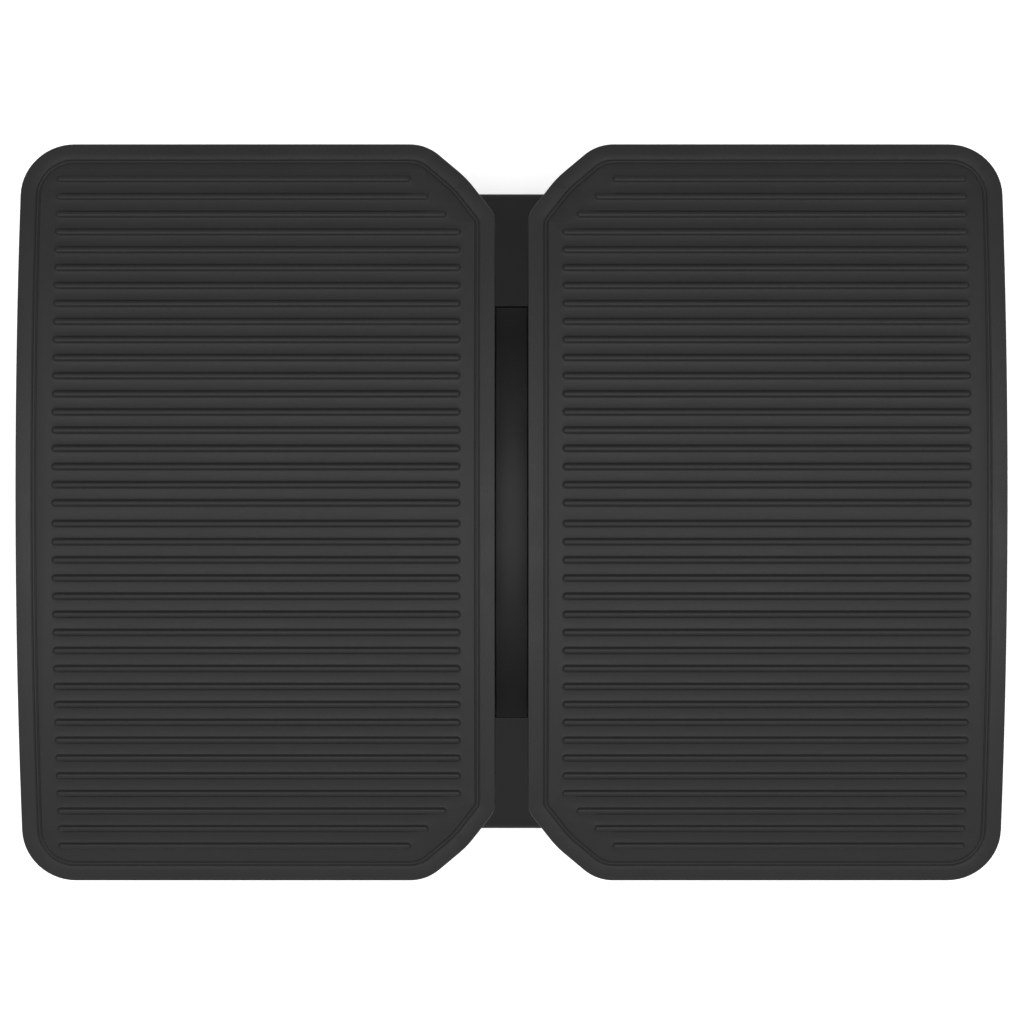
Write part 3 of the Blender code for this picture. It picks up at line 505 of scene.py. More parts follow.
def mat_piece(side):
    """Tread mat: a bead between two grooves round its edge, then a field of soft-sided ribs."""
    name = side_name(side) + "_tread_mat"
    bm = bmesh.new()
    start = SEAM_INSET + SEAM_WIDTH / 2.0
    section = [(start, -MAT_THICKNESS)] + valley(start, GROOVE_DEPTH)[4:]
    section += valley(SECOND_GROOVE_INSET, SECOND_GROOVE_DEPTH)
    rings = ring_loft(bm, [plate_ring(side, inset, height) for inset, height in section])
    bm.faces.new(rings[0])
    fill_edges = edges_round(bm, rings[-1])
    spread = (RIB_WIDTH - CAD_RIB_WIDTH) / 2.0
    outer = RIB_OUTER_X + spread
    for half in (-1, 1):
        for y in rib_rows():
            inner = max(RIB_INNER_X, y - RIB_CHAMFER_OFFSET) - spread
            loops = [rib_loop(side, half * y, inner, outer, *level) for level in rib_section()]
            made = ring_loft(bm, loops)
            bm.faces.new(made[-1])
            fill_edges += edges_round(bm, made[0])
    bmesh.ops.triangle_fill(bm, use_beauty=True, use_dissolve=False, edges=fill_edges)
    slice_across(bm, crown_slices())
    crown(bm)
    return object_from(bm, name, 50.0)


# ------------------------------------------------------------------------ base

def base_outline():
    """Plan of the base: a rectangle with round corners."""
    tray_low, tray_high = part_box("base_tray")
    corners = rectangle(tray_low.x, tray_high.x, tray_low.y, tray_high.y)
    return rounded_polygon(corners, [BASE_CORNER_RADIUS] * 4, 16)


def tray_piece():
    """Flat tray with softened edges, recesses for the feet and holes for the base screws."""
    tray = prism("tray_moulding", base_outline(), low("base_tray").z, high("base_tray").z)
    soften(tray, 0.0009)
    screws = ["fin_front_screw", "fin_rear_screw"]
    for label in ("left", "right"):
        screws += [f"{label}_tower_screw_1", f"{label}_tower_screw_2"]
        screws += [f"front_rail_{label}_screw", f"rear_rail_{label}_screw"]
    feet = [f"foot_{end}_{label}" for end in ("front", "rear") for label in ("left", "right")]
    recesses = [upright_cutter(foot, half_width(foot) + GAP, TURN_STEPS) for foot in feet]
    combine(tray, recesses, 'DIFFERENCE')
    return screw_holes(tray, screws)


def rail_height(y):
    """Height of a rail's top: a steep inner face, a soft ridge, then a slope down to a round edge."""
    y = abs(y)
    edge = RAIL_END_Y - RAIL_SLOPE_END_Y
    face = RAIL_LIP_Z + (RAIL_RIDGE_Z - RAIL_LIP_Z) * (y - RAIL_FOOT_Y) / (RAIL_RIDGE_Y - RAIL_FOOT_Y)
    done = min(max((y - RAIL_RIDGE_Y) / (RAIL_SLOPE_END_Y - RAIL_RIDGE_Y), 0.0), 1.0)
    slope = RAIL_END_Z + (RAIL_RIDGE_Z - RAIL_END_Z) * (1.0 - done) ** RAIL_SLOPE_POWER
    past = max(y - RAIL_SLOPE_END_Y, 0.0)
    slope += math.sqrt(max(edge ** 2 - past ** 2, 0.0)) - edge
    apart = abs(face - slope) / RIDGE_SOFTNESS
    return max(min(face, slope) - RIDGE_SOFTNESS * math.log1p(math.exp(-apart)), RAIL_LIP_Z)


def rail_slices():
    """Distances from the middle where a rail is cut, so that its top can follow rail_height."""
    steps = 40
    edge = RAIL_END_Y - RAIL_SLOPE_END_Y
    slope_length = RAIL_SLOPE_END_Y - RAIL_RIDGE_Y
    tenths_round_ridge = (-12, -8, -5, -3, -2, -1, 0, 2, 4, 7, 11)
    planes = [RAIL_RIDGE_Y + slope_length * i / steps for i in range(1, steps + 1)]
    planes += [RAIL_SLOPE_END_Y + edge * math.sin(math.radians(angle)) for angle in (20, 40, 60, 75)]
    return planes + [RAIL_RIDGE_Y + tenth / 10000.0 for tenth in tenths_round_ridge]


def rail_piece(node, end):
    """Cross rail on the base's outline, its top following rail_height, with pockets for the stop pads."""
    x = high(node).x
    block_top = RAIL_RIDGE_Z + 0.05
    outline = [(px, py) for px, py in base_outline() if end * py > RAIL_RIDGE_Y]
    outline.sort(key=lambda point: -point[0])
    plan = [(-x, end * RAIL_FOOT_Y), (x, end * RAIL_FOOT_Y)] + outline
    block = prism(node + "_moulding", plan, low(node).z, block_top)
    planes = rail_slices()
    pockets = []
    for side in (-1, 1):
        pad = ("front_" if end < 0 else "rear_") + side_name(side) + "_stop_pad"
        pad_low, pad_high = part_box(pad)
        pocket = rectangle(pad_low.x - GAP, pad_high.x + GAP, pad_low.y - GAP, pad_high.y + GAP)
        pockets.append(prism("pocket", pocket, pad_low.z - GAP, block_top + 0.01))
        planes += [abs(pad_low.y - GAP), abs(pad_high.y + GAP)]
    combine(block, pockets, 'DIFFERENCE')
    bm = bmesh.new()
    bm.from_mesh(block.data)
    slice_across(bm, [end * y for y in planes])
    for vert in bm.verts:
        if vert.co.z > RAIL_RIDGE_Z:
            vert.co.z = rail_height(vert.co.y)
    bpy.data.objects.remove(block, do_unlink=True)
    rail = object_from(bm, node + "_moulding", 50.0)
    return screw_holes(rail, [f"{node}_left_screw", f"{node}_right_screw"])


def fin_outline(steps=60):
    """Side view of the fin, over the top: dome, straight ramps, and level shoulders with round ends."""
    foot_z = low("centre_fin").z
    rise = high("centre_fin").z - foot_z
    half = []
    for i in range(steps + 1):
        y = FIN_RAMP_START_Y * i / steps
        left = 1.0 - (y / FIN_DOME_REACH) ** FIN_POWER
        half.append((y, foot_z + rise * left ** (1.0 / FIN_POWER)))
    (y_before, z_before), (y_start, z_start) = half[-2:]
    slope = (z_before - z_start) / (y_start - y_before)
    half.append((y_start + (z_start - FIN_SHOULDER_Z) / slope, FIN_SHOULDER_Z))
    corner = (FIN_SHOULDER_END_Y - FIN_ROUND, FIN_SHOULDER_Z - FIN_ROUND)
    half += arc(corner, FIN_ROUND, math.pi / 2.0, 0.0, 4)
    half.append((FIN_SHOULDER_END_Y, foot_z))
    return list(reversed(half)) + [(-y, z) for y, z in half[1:]]


def plinth_piece():
    """Low wall from rail to rail under the fin, its ends leaning like the rails' inner faces."""
    foot_y = RAIL_FOOT_Y - GAP
    lean = (RAIL_RIDGE_Y - RAIL_FOOT_Y) / (RAIL_RIDGE_Z - RAIL_LIP_Z)
    top_y = foot_y + lean * (PLINTH_TOP_Z - RAIL_LIP_Z)
    half = [(foot_y, low("centre_fin").z), (foot_y, RAIL_LIP_Z), (top_y, PLINTH_TOP_Z)]
    outline = half + [(-y, z) for y, z in reversed(half)]
    return soften(prism("plinth", outline, -PLINTH_HALF_WIDTH, PLINTH_HALF_WIDTH, 'X'), 0.0006)


def fin_piece():
    """Domed centre fin with round edges on its plinth, with a boss on each side and a bore for the axle."""
    outline = fin_outline()
    flat = FIN_HALF_THICKNESS - FIN_ROUND
    turns = [math.radians(angle) for angle in (0, 18, 36, 54, 72, 90)]
    offsets = [-flat - FIN_ROUND * math.cos(turn) for turn in turns]
    offsets += [-value for value in reversed(offsets)]
    rings = []
    for offset in offsets:
        past = max(abs(offset) - flat, 0.0)
        cut_in = FIN_ROUND - math.sqrt(max(FIN_ROUND ** 2 - past ** 2, 0.0))
        rings.append([(offset, y, z) for y, z in inset_polygon(outline, cut_in)])
    bm = bmesh.new()
    made = ring_loft(bm, rings)
    bm.faces.new(made[0])
    bm.faces.new(made[-1])
    fin = object_from(bm, "fin_moulding", 40.0)
    boss_end = high("centre_fin").x
    profile = rounded_profile(shaft(-boss_end, boss_end, FIN_BOSS_RADIUS), 0.0008)
    combine(fin, [turned("boss", profile, (0.0, PIVOT_Z)), plinth_piece()], 'UNION')
    bored(fin, AXLE_BORE_RADIUS, PIVOT_Z)
    return screw_holes(fin, ["fin_front_screw", "fin_rear_screw"])


def tower_piece(side):
    """Upright with a sunk panel on its outer face, bored for the axle and the plunger."""
    node = side_name(side) + "_tower"
    x_low, x_high = sorted(abs(value) for value in (low(node).x, high(node).x))
    foot_z = low(node).z
    head_radius = high(node).z - PIVOT_Z
    foot_y = high(node).y
    foot_top_z = foot_z + 0.006
    head = arc((0.0, PIVOT_Z), head_radius, TOWER_LEAN, math.pi - TOWER_LEAN, 32)
    outline = [(-foot_y, foot_z), (foot_y, foot_z), (foot_y, foot_top_z)]
    outline += head + [(-foot_y, foot_top_z)]
    tower = prism(node + "_moulding", outline, x_low, x_high, 'X', side)
    panel_depth = 0.003
    panel_corners = [(-0.019, 0.040), (0.019, 0.040), (0.0105, 0.060), (-0.0105, 0.060)]
    panel = rounded_polygon(panel_corners, [0.003] * 4, 6)
    cutter = prism("panel", panel, x_high - panel_depth, x_high + 0.01, 'X', side)
    combine(tower, [cutter], 'DIFFERENCE')
    soften(tower, 0.0012)
    bored(tower, AXLE_BORE_RADIUS, PIVOT_Z)
    bored(tower, HOUSING_RADIUS + GAP, PLUNGER_Z)
    return screw_holes(tower, [node + "_screw_1", node + "_screw_2"])


def stop_pad_piece(node):
    """Rubber block whose top slopes like the plate that lands on it."""
    pad_low, pad_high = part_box(node)
    end = 1 if pad_low.y > 0 else -1
    near, far = sorted((abs(pad_low.y), abs(pad_high.y)))
    drop = (far - near) * math.tan(PAD_SLOPE)
    outline = [
        (end * near, pad_low.z), (end * far, pad_low.z),
        (end * far, pad_high.z - drop), (end * near, pad_high.z),
    ]
    return soften(prism(node + "_block", outline, pad_low.x, pad_high.x, 'X'), 0.0010)


# ------------------------------------------------------------------- hardware

def bracket_piece(side, kind):
    """Bent steel hanger: an L section with a round bend, cut to the ear's outline and drilled."""
    node = f"{side_name(side)}_{kind}_bracket"
    x_low, x_high = sorted(abs(value) for value in (low(node).x, high(node).x))
    top = high(node).z
    thick = HANGER_THICKNESS
    bend = HANGER_BEND
    width = HANGER_HALF_WIDTH
    bottom = low(node).z - 0.01
    over = top + 0.001
    if kind == "index":
        corner = arc((x_high - bend, top - bend), bend, math.pi / 2.0, 0.0, 8)
        inside = arc((x_high - bend, top - bend), bend - thick, 0.0, math.pi / 2.0, 8)
        section = [(x_low, top - thick), (x_low, top)] + corner
        section += [(x_high, bottom), (x_high - thick, bottom)] + inside
        sector = arc((0.0, PIVOT_Z), SECTOR_RADIUS, math.radians(-120), math.radians(-60), 32)
        outline = [(-width, over)] + sector + [(width, over)]
    else:
        corner = arc((x_low + bend, top - bend), bend, math.pi / 2.0, math.pi, 8)
        inside = arc((x_low + bend, top - bend), bend - thick, math.pi, math.pi / 2.0, 8)
        section = [(x_high, top - thick), (x_high, top)] + corner
        section += [(x_low, bottom), (x_low + thick, bottom)] + inside
        tip = arc((0.0, PIVOT_Z), PIVOT_Z - low(node).z, math.pi, math.tau, 32)
        ear_top = top - 0.006
        outline = [(-width, over), (-width, ear_top)] + tip + [(width, ear_top), (width, over)]
    plate = prism(node + "_plate", section, -width, width, 'Y', side)
    combine(plate, [prism("ear", outline, 0.0, 0.3, 'X', side)], 'INTERSECT')
    if kind == "index":
        drills = []
        for degrees in INDEX_ANGLES:
            angle = math.radians(degrees - 90.0)
            centre = (INDEX_RADIUS * math.cos(angle), PIVOT_Z + INDEX_RADIUS * math.sin(angle))
            drill = shaft(x_low, x_high + 0.01, INDEX_HOLE_RADIUS)
            drills.append(turned("drill", drill, centre, side, 'X', 32))
        combine(plate, drills, 'DIFFERENCE')
    soften(plate, 0.0005, 2, 35.0)
    bored(plate, BUSH_HOLE_RADIUS, PIVOT_Z)
    return screw_holes(plate, [node + "_screw_1", node + "_screw_2"])


def turned_like(node, name, profile, radius, centre=None):
    """A turned piece with round edges on a node's own axis, which lies along X."""
    side = 1 if (low(node).x + high(node).x) >= 0.0 else -1
    spot = centre if centre else (0.0, (low(node).z + high(node).z) / 2.0)
    return turned(name, rounded_profile(profile, radius), spot, side)


def span(node):
    """Inner and outer |x| of a node on one side of the board."""
    return sorted(abs(value) for value in (low(node).x, high(node).x))


def bush_piece(node):
    """Flanged bush, its flange toward the board's middle on the inner ear and outward on the other."""
    start, end = span(node)
    barrel = 0.0087
    flange = 0.012
    thick = 0.0017
    if "inner" in node:
        face = start + thick
        wall = [(start, flange), (face, flange), (face, barrel), (end, barrel)]
    else:
        face = end - thick
        wall = [(start, barrel), (face, barrel), (face, flange), (end, flange)]
    profile = [(start, AXLE_BORE_RADIUS)] + wall + [(end, AXLE_BORE_RADIUS)]
    return turned_like(node, node + "_turned", profile, 0.0003)


def washer_piece(node):
    """Friction washer between a bush and its tower."""
    start, end = span(node)
    return turned_like(node, node + "_ring", sleeve(start, end, AXLE_BORE_RADIUS, 0.0135), 0.0004)


def axle_piece():
    """Round bar with chamfered ends."""
    end = high("axle").x
    radius = (high("axle").z - low("axle").z) / 2.0
    chamfer = 0.001
    near_end = [(end - chamfer, radius), (end, radius - chamfer), (end, 0.0)]
    profile = [(-along, across) for along, across in reversed(near_end)] + near_end
    return turned("axle_bar", profile, (0.0, PIVOT_Z))


def axle_cap_piece(side):
    """Domed push-on cap over an end of the axle."""
    node = side_name(side) + "_axle_cap"
    start, end = span(node)
    radius = 0.010
    dome_height = 0.0036
    roof = end - 0.0028
    turns = [math.radians(angle) for angle in (0, 15, 30, 45, 60, 75, 85)]
    dome = [(end - dome_height + dome_height * math.sin(a), radius * math.cos(a)) for a in turns]
    profile = [(start, AXLE_BORE_RADIUS), (start, radius * 0.97), (start + 0.0004, radius)] + dome
    profile += [(end, 0.0), (roof, 0.0), (roof, AXLE_BORE_RADIUS)]
    return turned(node + "_dome", profile, (0.0, PIVOT_Z), side)


def housing_piece(side):
    """Plunger body with thread rings, and a chamfered hexagon against the tower."""
    node = side_name(side) + "_plunger_housing"
    start, end = span(node)
    radius = HOUSING_RADIUS
    stem_bore = 0.0033
    spring_bore = 0.0041
    chamfer = 0.0006
    bridge = start + 0.0015
    hex_low = span(side_name(side) + "_tower")[1] + GAP
    hex_high = hex_low + 0.005
    profile = [(start, stem_bore), (start, radius - chamfer), (start + chamfer, radius)]
    x = hex_high + THREAD_DEPTH
    while x + THREAD_PITCH < end - 0.0005:
        profile += [(x, radius), (x + THREAD_PITCH * 0.5, radius - THREAD_DEPTH)]
        x += THREAD_PITCH
    profile += [(end - THREAD_DEPTH, radius), (end, radius - THREAD_DEPTH)]
    profile += [(end, spring_bore), (bridge, spring_bore), (bridge, stem_bore)]
    centre = (0.0, PLUNGER_Z)
    body = turned(node + "_body", profile, centre, side)
    six_corners = arc(centre, 0.0095, 0.0, math.tau, 6)[:-1]
    hexagon = prism("hexagon", six_corners, hex_low, hex_high, 'X', side)
    dome = [
        (hex_low - 0.001, 0.0), (hex_low - 0.001, 0.0088), (hex_low + chamfer, 0.0096),
        (hex_high - chamfer, 0.0096), (hex_high, 0.0086), (hex_high, 0.0),
    ]
    combine(hexagon, [turned("chamfer", dome, centre, side)], 'INTERSECT')
    core = shaft(hex_low - 0.002, hex_high + 0.002, radius - 0.0003)
    combine(hexagon, [turned("core", core, centre, side)], 'DIFFERENCE')
    return combine(body, [hexagon], 'UNION')


def end_nut_piece(side):
    """Ring nut that backs the plunger's spring."""
    node = side_name(side) + "_plunger_end_nut"
    start, end = span(node)
    return turned_like(node, node + "_ring", sleeve(start, end, 0.0025, HOUSING_RADIUS), 0.0003)


def pin_piece(side):
    """Index pin with a tapered nose, a collar for the spring and a thinner stem."""
    node = side_name(side) + "_plunger_pin"
    start, end = span(node)
    pin = 0.003
    stem = 0.0022
    collar = 0.0038
    collar_start = start + 0.0108
    collar_end = collar_start + 0.0015
    profile = [
        (start, 0.0), (start, 0.0021), (start + 0.0012, pin), (collar_start, pin), (collar_start, collar),
        (collar_end, collar), (collar_end, stem), (end, stem), (end, 0.0),
    ]
    return turned_like(node, node + "_steel", profile, 0.0002, (0.0, PLUNGER_Z))


def knob_piece(side):
    """Mushroom knob with a waist for the fingers and a shallow dished face."""
    node = side_name(side) + "_plunger_knob"
    start, end = span(node)
    length = end - start
    rim = 0.010
    waist = 0.0060
    neck = ((0.0, 1.0), (0.10, 0.98), (0.25, 0.95), (0.38, 1.02), (0.48, 1.20), (0.56, 1.45), (0.64, 1.60))
    head = ((0.74, 0.992), (0.82, 1.0), (0.90, 0.97), (0.96, 0.90), (1.0, 0.78), (0.97, 0.45), (0.96, 0.0))
    outer = [(start + length * along, waist * across) for along, across in neck]
    outer += [(start + length * along, rim * across) for along, across in head]
    hollow = start + length * 0.52
    profile = [(start, 0.0025)] + outer + [(hollow, 0.0), (hollow, 0.0025)]
    return turned(node + "_mushroom", profile, (0.0, PLUNGER_Z), side)


def foot_piece(node):
    """Rubber foot with a round lower edge and a shallow dish."""
    radius = half_width(node)
    bottom = low(node).z
    top = high(node).z
    dish = bottom + 0.0006
    edge = 0.0012
    profile = [
        (dish, 0.0), (dish, radius * 0.62), (bottom, radius * 0.70), (bottom, radius - edge),
        (bottom + 0.0004, radius - 0.0003), (bottom + edge, radius), (top, radius), (top, 0.0),
    ]
    return turned(node + "_rubber", profile, middle_of(node), 1, 'Z')


def screw_piece(node):
    """Pan-head screw with a socket, head down."""
    radius = half_width(node)
    bottom = low(node).z
    top = high(node).z
    head = 0.003 if "bracket" in node else 0.0017
    shank_z = bottom + head
    shank = 0.002
    profile = [
        (bottom + head * 0.6, 0.0), (bottom + head * 0.55, 0.0013), (bottom, 0.0016),
        (bottom + head * 0.04, radius * 0.62), (bottom + head * 0.22, radius * 0.86),
        (bottom + head * 0.5, radius), (shank_z, radius), (shank_z, shank),
        (top - 0.0006, shank), (top, 0.0014), (top, 0.0),
    ]
    return turned(node + "_steel", profile, middle_of(node), 1, 'Z', 32)


def spring_piece(side):
    """Round-wire compression spring between the pin's collar and the end nut."""
    node = side_name(side) + "_plunger_spring"
    box_low, box_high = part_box(node)
    wire = 0.00045
    start, end = span(node)
    start += wire
    end -= wire
    coil = (box_high.y - box_low.y) / 2.0 - wire
    turns, per_turn, sides = 6, 24, 10
    bm = bmesh.new()
    rings = []
    for i in range(turns * per_turn + 1):
        share = i / (turns * per_turn)
        angle = math.tau * i / per_turn
        x = start + (end - start) * share
        ring = []
        for k in range(sides):
            turn = math.tau * k / sides
            radius = coil + wire * math.cos(turn)
            ring.append((side * (x + wire * math.sin(turn)), radius * math.cos(angle),
                         PLUNGER_Z + radius * math.sin(angle)))
        rings.append(ring)
    made = ring_loft(bm, rings)
    bm.faces.new(made[0])
    bm.faces.new(made[-1])
    return object_from(bm, node + "_wire", 80.0)


# ------------------------------------------------------------------- materials

class Nodes:
    """Short calls for building one material's node tree."""

    def __init__(self, name):
        self.material = bpy.data.materials.new(name)
        self.material.use_nodes = True
        self.tree = self.material.node_tree
        self.shader = self.tree.nodes["Principled BSDF"]
        self.place = self.tree.nodes.new("ShaderNodeTexCoord").outputs["Object"]

    def link(self, output, socket):
        self.tree.links.new(output, socket)

    def stretched(self, scale):
        mapping = self.tree.nodes.new("ShaderNodeMapping")
        mapping.inputs["Scale"].default_value = scale
        self.link(self.place, mapping.inputs["Vector"])
        return mapping.outputs["Vector"]

    def noise(self, scale, detail=3.0, roughness=0.5, vector=None):
        node = self.tree.nodes.new("ShaderNodeTexNoise")
        node.inputs["Scale"].default_value = scale
        node.inputs["Detail"].default_value = detail
        node.inputs["Roughness"].default_value = roughness
        self.link(vector or self.place, node.inputs["Vector"])
        return node.outputs["Fac"]

    def cells(self, scale):
        node = self.tree.nodes.new("ShaderNodeTexVoronoi")
        node.feature = 'SMOOTH_F1'
        node.inputs["Scale"].default_value = scale
        self.link(self.place, node.inputs["Vector"])
        return node.outputs["Distance"]

    def spread(self, value, in_low, in_high, out_low, out_high):
        node = self.tree.nodes.new("ShaderNodeMapRange")
        node.inputs["From Min"].default_value = in_low
        node.inputs["From Max"].default_value = in_high
        node.inputs["To Min"].default_value = out_low
        node.inputs["To Max"].default_value = out_high
        self.link(value, node.inputs["Value"])
        return node.outputs["Result"]

    def combine(self, operation, first, second):
        node = self.tree.nodes.new("ShaderNodeMath")
        node.operation = operation
        for socket, value in zip(node.inputs, (first, second)):
            if isinstance(value, float):
                socket.default_value = value
            else:
                self.link(value, socket)
        return node.outputs["Value"]

    def times(self, first, second):
        return self.combine('MULTIPLY', first, second)

    def plus(self, first, second):
        return self.combine('ADD', first, second)

    def colour(self, value, dark, pale):
        node = self.tree.nodes.new("ShaderNodeValToRGB")
        node.color_ramp.elements[0].color = (*dark, 1.0)
        node.color_ramp.elements[1].color = (*pale, 1.0)
        self.link(value, node.inputs["Fac"])
        return node.outputs["Color"]

    def bump(self, height, distance, under=None):
        node = self.tree.nodes.new("ShaderNodeBump")
        node.inputs["Distance"].default_value = distance
        self.link(height, node.inputs["Height"])
        if under:
            self.link(under, node.inputs["Normal"])
        return node.outputs["Normal"]

    def edges(self, reach):
        """1 along convex edges, 0 on open faces: the sharpness of the surface at a small radius."""
        bevel = self.tree.nodes.new("ShaderNodeBevel")
        bevel.inputs["Radius"].default_value = reach
        bevel.samples = 4
        geometry = self.tree.nodes.new("ShaderNodeNewGeometry")
        dot = self.tree.nodes.new("ShaderNodeVectorMath")
        dot.operation = 'DOT_PRODUCT'
        self.link(bevel.outputs["Normal"], dot.inputs[0])
        self.link(geometry.outputs["Normal"], dot.inputs[1])
        return self.spread(dot.outputs["Value"], 0.995, 0.93, 0.0, 1.0)

    def finish(self, colour=None, roughness=None, normal=None, **constants):
        for output, socket in ((colour, "Base Color"), (roughness, "Roughness"), (normal, "Normal")):
            if output is not None:
                self.link(output, self.shader.inputs[socket])
        for name, value in constants.items():
            self.shader.inputs[name.replace("_", " ")].default_value = value
        return self.material


def grey(value):
    return (value, value, value)


def moulded_plastic(name, level, roughness, grain, shine):
    """Spark-eroded charcoal plastic: pebbled grain, faint mottling, and edges rubbed smoother and paler;
    the paleness is partly wear and partly a painted highlight along the edges.
    """
    made = Nodes(name)
    mottle = made.noise(28.0, 4.0, 0.55)
    speck = made.noise(2600.0, 2.0, 0.6)
    convex_edge_mask = made.edges(0.0012)
    scuffs = made.spread(made.noise(160.0, 5.0, 0.7), 0.50, 0.72, 0.0, 1.0)
    patchy = made.plus(0.35, made.times(scuffs, 0.65))
    wear_and_edge_highlight = made.times(convex_edge_mask, patchy)
    fine = made.times(speck, 0.35)
    blend = made.plus(made.times(mottle, 0.45), fine)
    # Paler along the edges: partly rubbed wear, partly a painted highlight in place of the light a rounded
    # edge would catch.
    tone = made.plus(blend, made.times(wear_and_edge_highlight, 0.45))
    colour = made.colour(tone, grey(level * 0.72), grey(level * 1.30))
    rough = made.spread(mottle, 0.35, 0.65, roughness - 0.05, roughness + 0.05)
    rough = made.combine('SUBTRACT', rough, made.times(wear_and_edge_highlight, 0.14))
    pebble = made.bump(made.cells(1900.0), 0.00006 * grain)
    normal = made.bump(speck, 0.00003 * grain, pebble)
    return made.finish(colour, rough, normal, IOR=1.5, Specular_IOR_Level=shine)


def tread_rubber():
    """Moulded tread rubber: softer, duller, with a fine matt tooth and dust held in the texture."""
    made = Nodes("mat_rubber_tread")
    mottle = made.noise(22.0, 5.0, 0.6)
    tooth = made.noise(3200.0, 3.0, 0.65)
    dust = made.spread(made.noise(75.0, 6.0, 0.7), 0.45, 0.75, 0.0, 1.0)
    convex_edge_mask = made.edges(0.0009)
    tone = made.plus(made.times(mottle, 0.5), made.times(tooth, 0.3))
    tone = made.plus(tone, made.times(dust, 0.08))
    tone = made.plus(tone, made.times(convex_edge_mask, 0.14))
    colour = made.colour(tone, grey(0.0085), grey(0.016))
    rough = made.spread(mottle, 0.3, 0.7, 0.42, 0.50)
    rough = made.combine('SUBTRACT', rough, made.times(convex_edge_mask, 0.10))
    normal = made.bump(tooth, 0.00005)
    return made.finish(colour, rough, normal, IOR=1.5, Specular_IOR_Level=0.25)


def matt_rubber():
    """Black rubber of the feet, stop pads and friction washers, greyed where it rubs."""
    made = Nodes("foot_rubber_matt")
    cloud = made.noise(90.0, 6.0, 0.7)
    tooth = made.noise(2400.0, 3.0, 0.6)
    convex_edge_mask = made.edges(0.0008)
    tone = made.plus(made.times(cloud, 0.6), made.times(convex_edge_mask, 0.4))
    colour = made.colour(tone, grey(0.010), grey(0.034))
    rough = made.spread(cloud, 0.3, 0.7, 0.72, 0.88)
    return made.finish(colour, rough, made.bump(tooth, 0.00006))


def powder_coat():
    """Black powder coat on bent steel: orange-peel skin, thin and bright at the edges."""
    made = Nodes("black_steel_powder_coat")
    peel = made.noise(520.0, 2.0, 0.4)
    cloud = made.noise(45.0, 4.0, 0.6)
    convex_edge_mask = made.edges(0.0006)
    chips = made.spread(made.noise(420.0, 5.0, 0.75), 0.58, 0.66, 0.0, 1.0)
    bare = made.times(convex_edge_mask, chips)
    tone = made.plus(made.times(cloud, 0.4), made.times(bare, 0.9))
    colour = made.colour(tone, grey(0.022), grey(0.16))
    rough = made.spread(peel, 0.3, 0.7, 0.30, 0.42)
    metal = made.spread(bare, 0.0, 1.0, 0.0, 0.9)
    made.link(metal, made.shader.inputs["Metallic"])
    return made.finish(colour, rough, made.bump(peel, 0.00006), IOR=1.52)


def plated_steel():
    """Zinc-plated steel, turned: fine rings round the axis and a faint cloudy bloom."""
    made = Nodes("bright_steel_plated")
    rings = made.noise(900.0, 3.0, 0.6, made.stretched((4.0, 0.35, 0.35)))
    bloom = made.noise(120.0, 5.0, 0.65)
    convex_edge_mask = made.edges(0.0005)
    tone = made.plus(made.times(bloom, 0.7), made.times(convex_edge_mask, 0.3))
    colour = made.colour(tone, (0.46, 0.47, 0.49), (0.74, 0.74, 0.75))
    rough = made.spread(rings, 0.3, 0.7, 0.18, 0.38)
    return made.finish(colour, rough, made.bump(rings, 0.00002), Metallic=1.0)


def sintered_bronze():
    """Porous sintered bronze, darkened with oil in its pores."""
    made = Nodes("bush_bronze_sintered")
    pores = made.cells(2600.0)
    cloud = made.noise(200.0, 5.0, 0.6)
    open_pores = made.spread(pores, 0.05, 0.45, 0.2, 1.0)
    tone = made.times(open_pores, made.spread(cloud, 0.3, 0.7, 0.6, 1.0))
    colour = made.colour(tone, (0.16, 0.095, 0.045), (0.56, 0.38, 0.19))
    rough = made.spread(cloud, 0.3, 0.7, 0.30, 0.50)
    return made.finish(colour, rough, made.bump(pores, 0.00005), Metallic=1.0)


def gloss_plastic():
    """Polished black knob with hair-fine scratches from handling."""
    made = Nodes("knob_plastic_gloss")
    scratches = made.noise(700.0, 4.0, 0.7, made.stretched((0.5, 3.0, 1.0)))
    haze = made.noise(140.0, 5.0, 0.6)
    convex_edge_mask = made.edges(0.0008)
    tone = made.plus(haze, made.times(convex_edge_mask, 0.4))
    colour = made.colour(tone, grey(0.010), grey(0.028))
    rough = made.spread(made.plus(haze, scratches), 0.7, 1.3, 0.20, 0.36)
    return made.finish(colour, rough, made.bump(scratches, 0.000012), IOR=1.5)


def all_finishes():
    """The record's material slots and the finish that each one gets."""
    return {
        "shell_plastic": moulded_plastic("shell_plastic_grained", 0.013, 0.43, 1.0, 0.25),
        "mat_rubber": tread_rubber(),
        # The base plastic is painted about twice as light as the shell plastic. This is painted fill light,
        # which lifts the base where it lies in shade under the plates and in the slot between them.
        "base_plastic": moulded_plastic("base_plastic_grained_painted_fill_light", 0.0275, 0.52, 1.3, 0.12),
        "foot_rubber": matt_rubber(),
        "black_steel": powder_coat(),
        "bright_steel": plated_steel(),
        "bush_bronze": sintered_bronze(),
        "knob_plastic": gloss_plastic(),
    }


# -------------------------------------------------------------------- assembly

FINISHES = all_finishes()
SLOT_OF = {entry["node"]: entry["material_slot"] for entry in frame["record"]["subparts"]}


def install(piece, node, body):
    """Finish a piece, let it ride on its body, and let it stand for its CAD node."""
    slot = SLOT_OF[node]
    piece.data.materials.clear()
    piece.data.materials.append(FINISHES[slot])
    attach(piece, body)
    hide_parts(node)


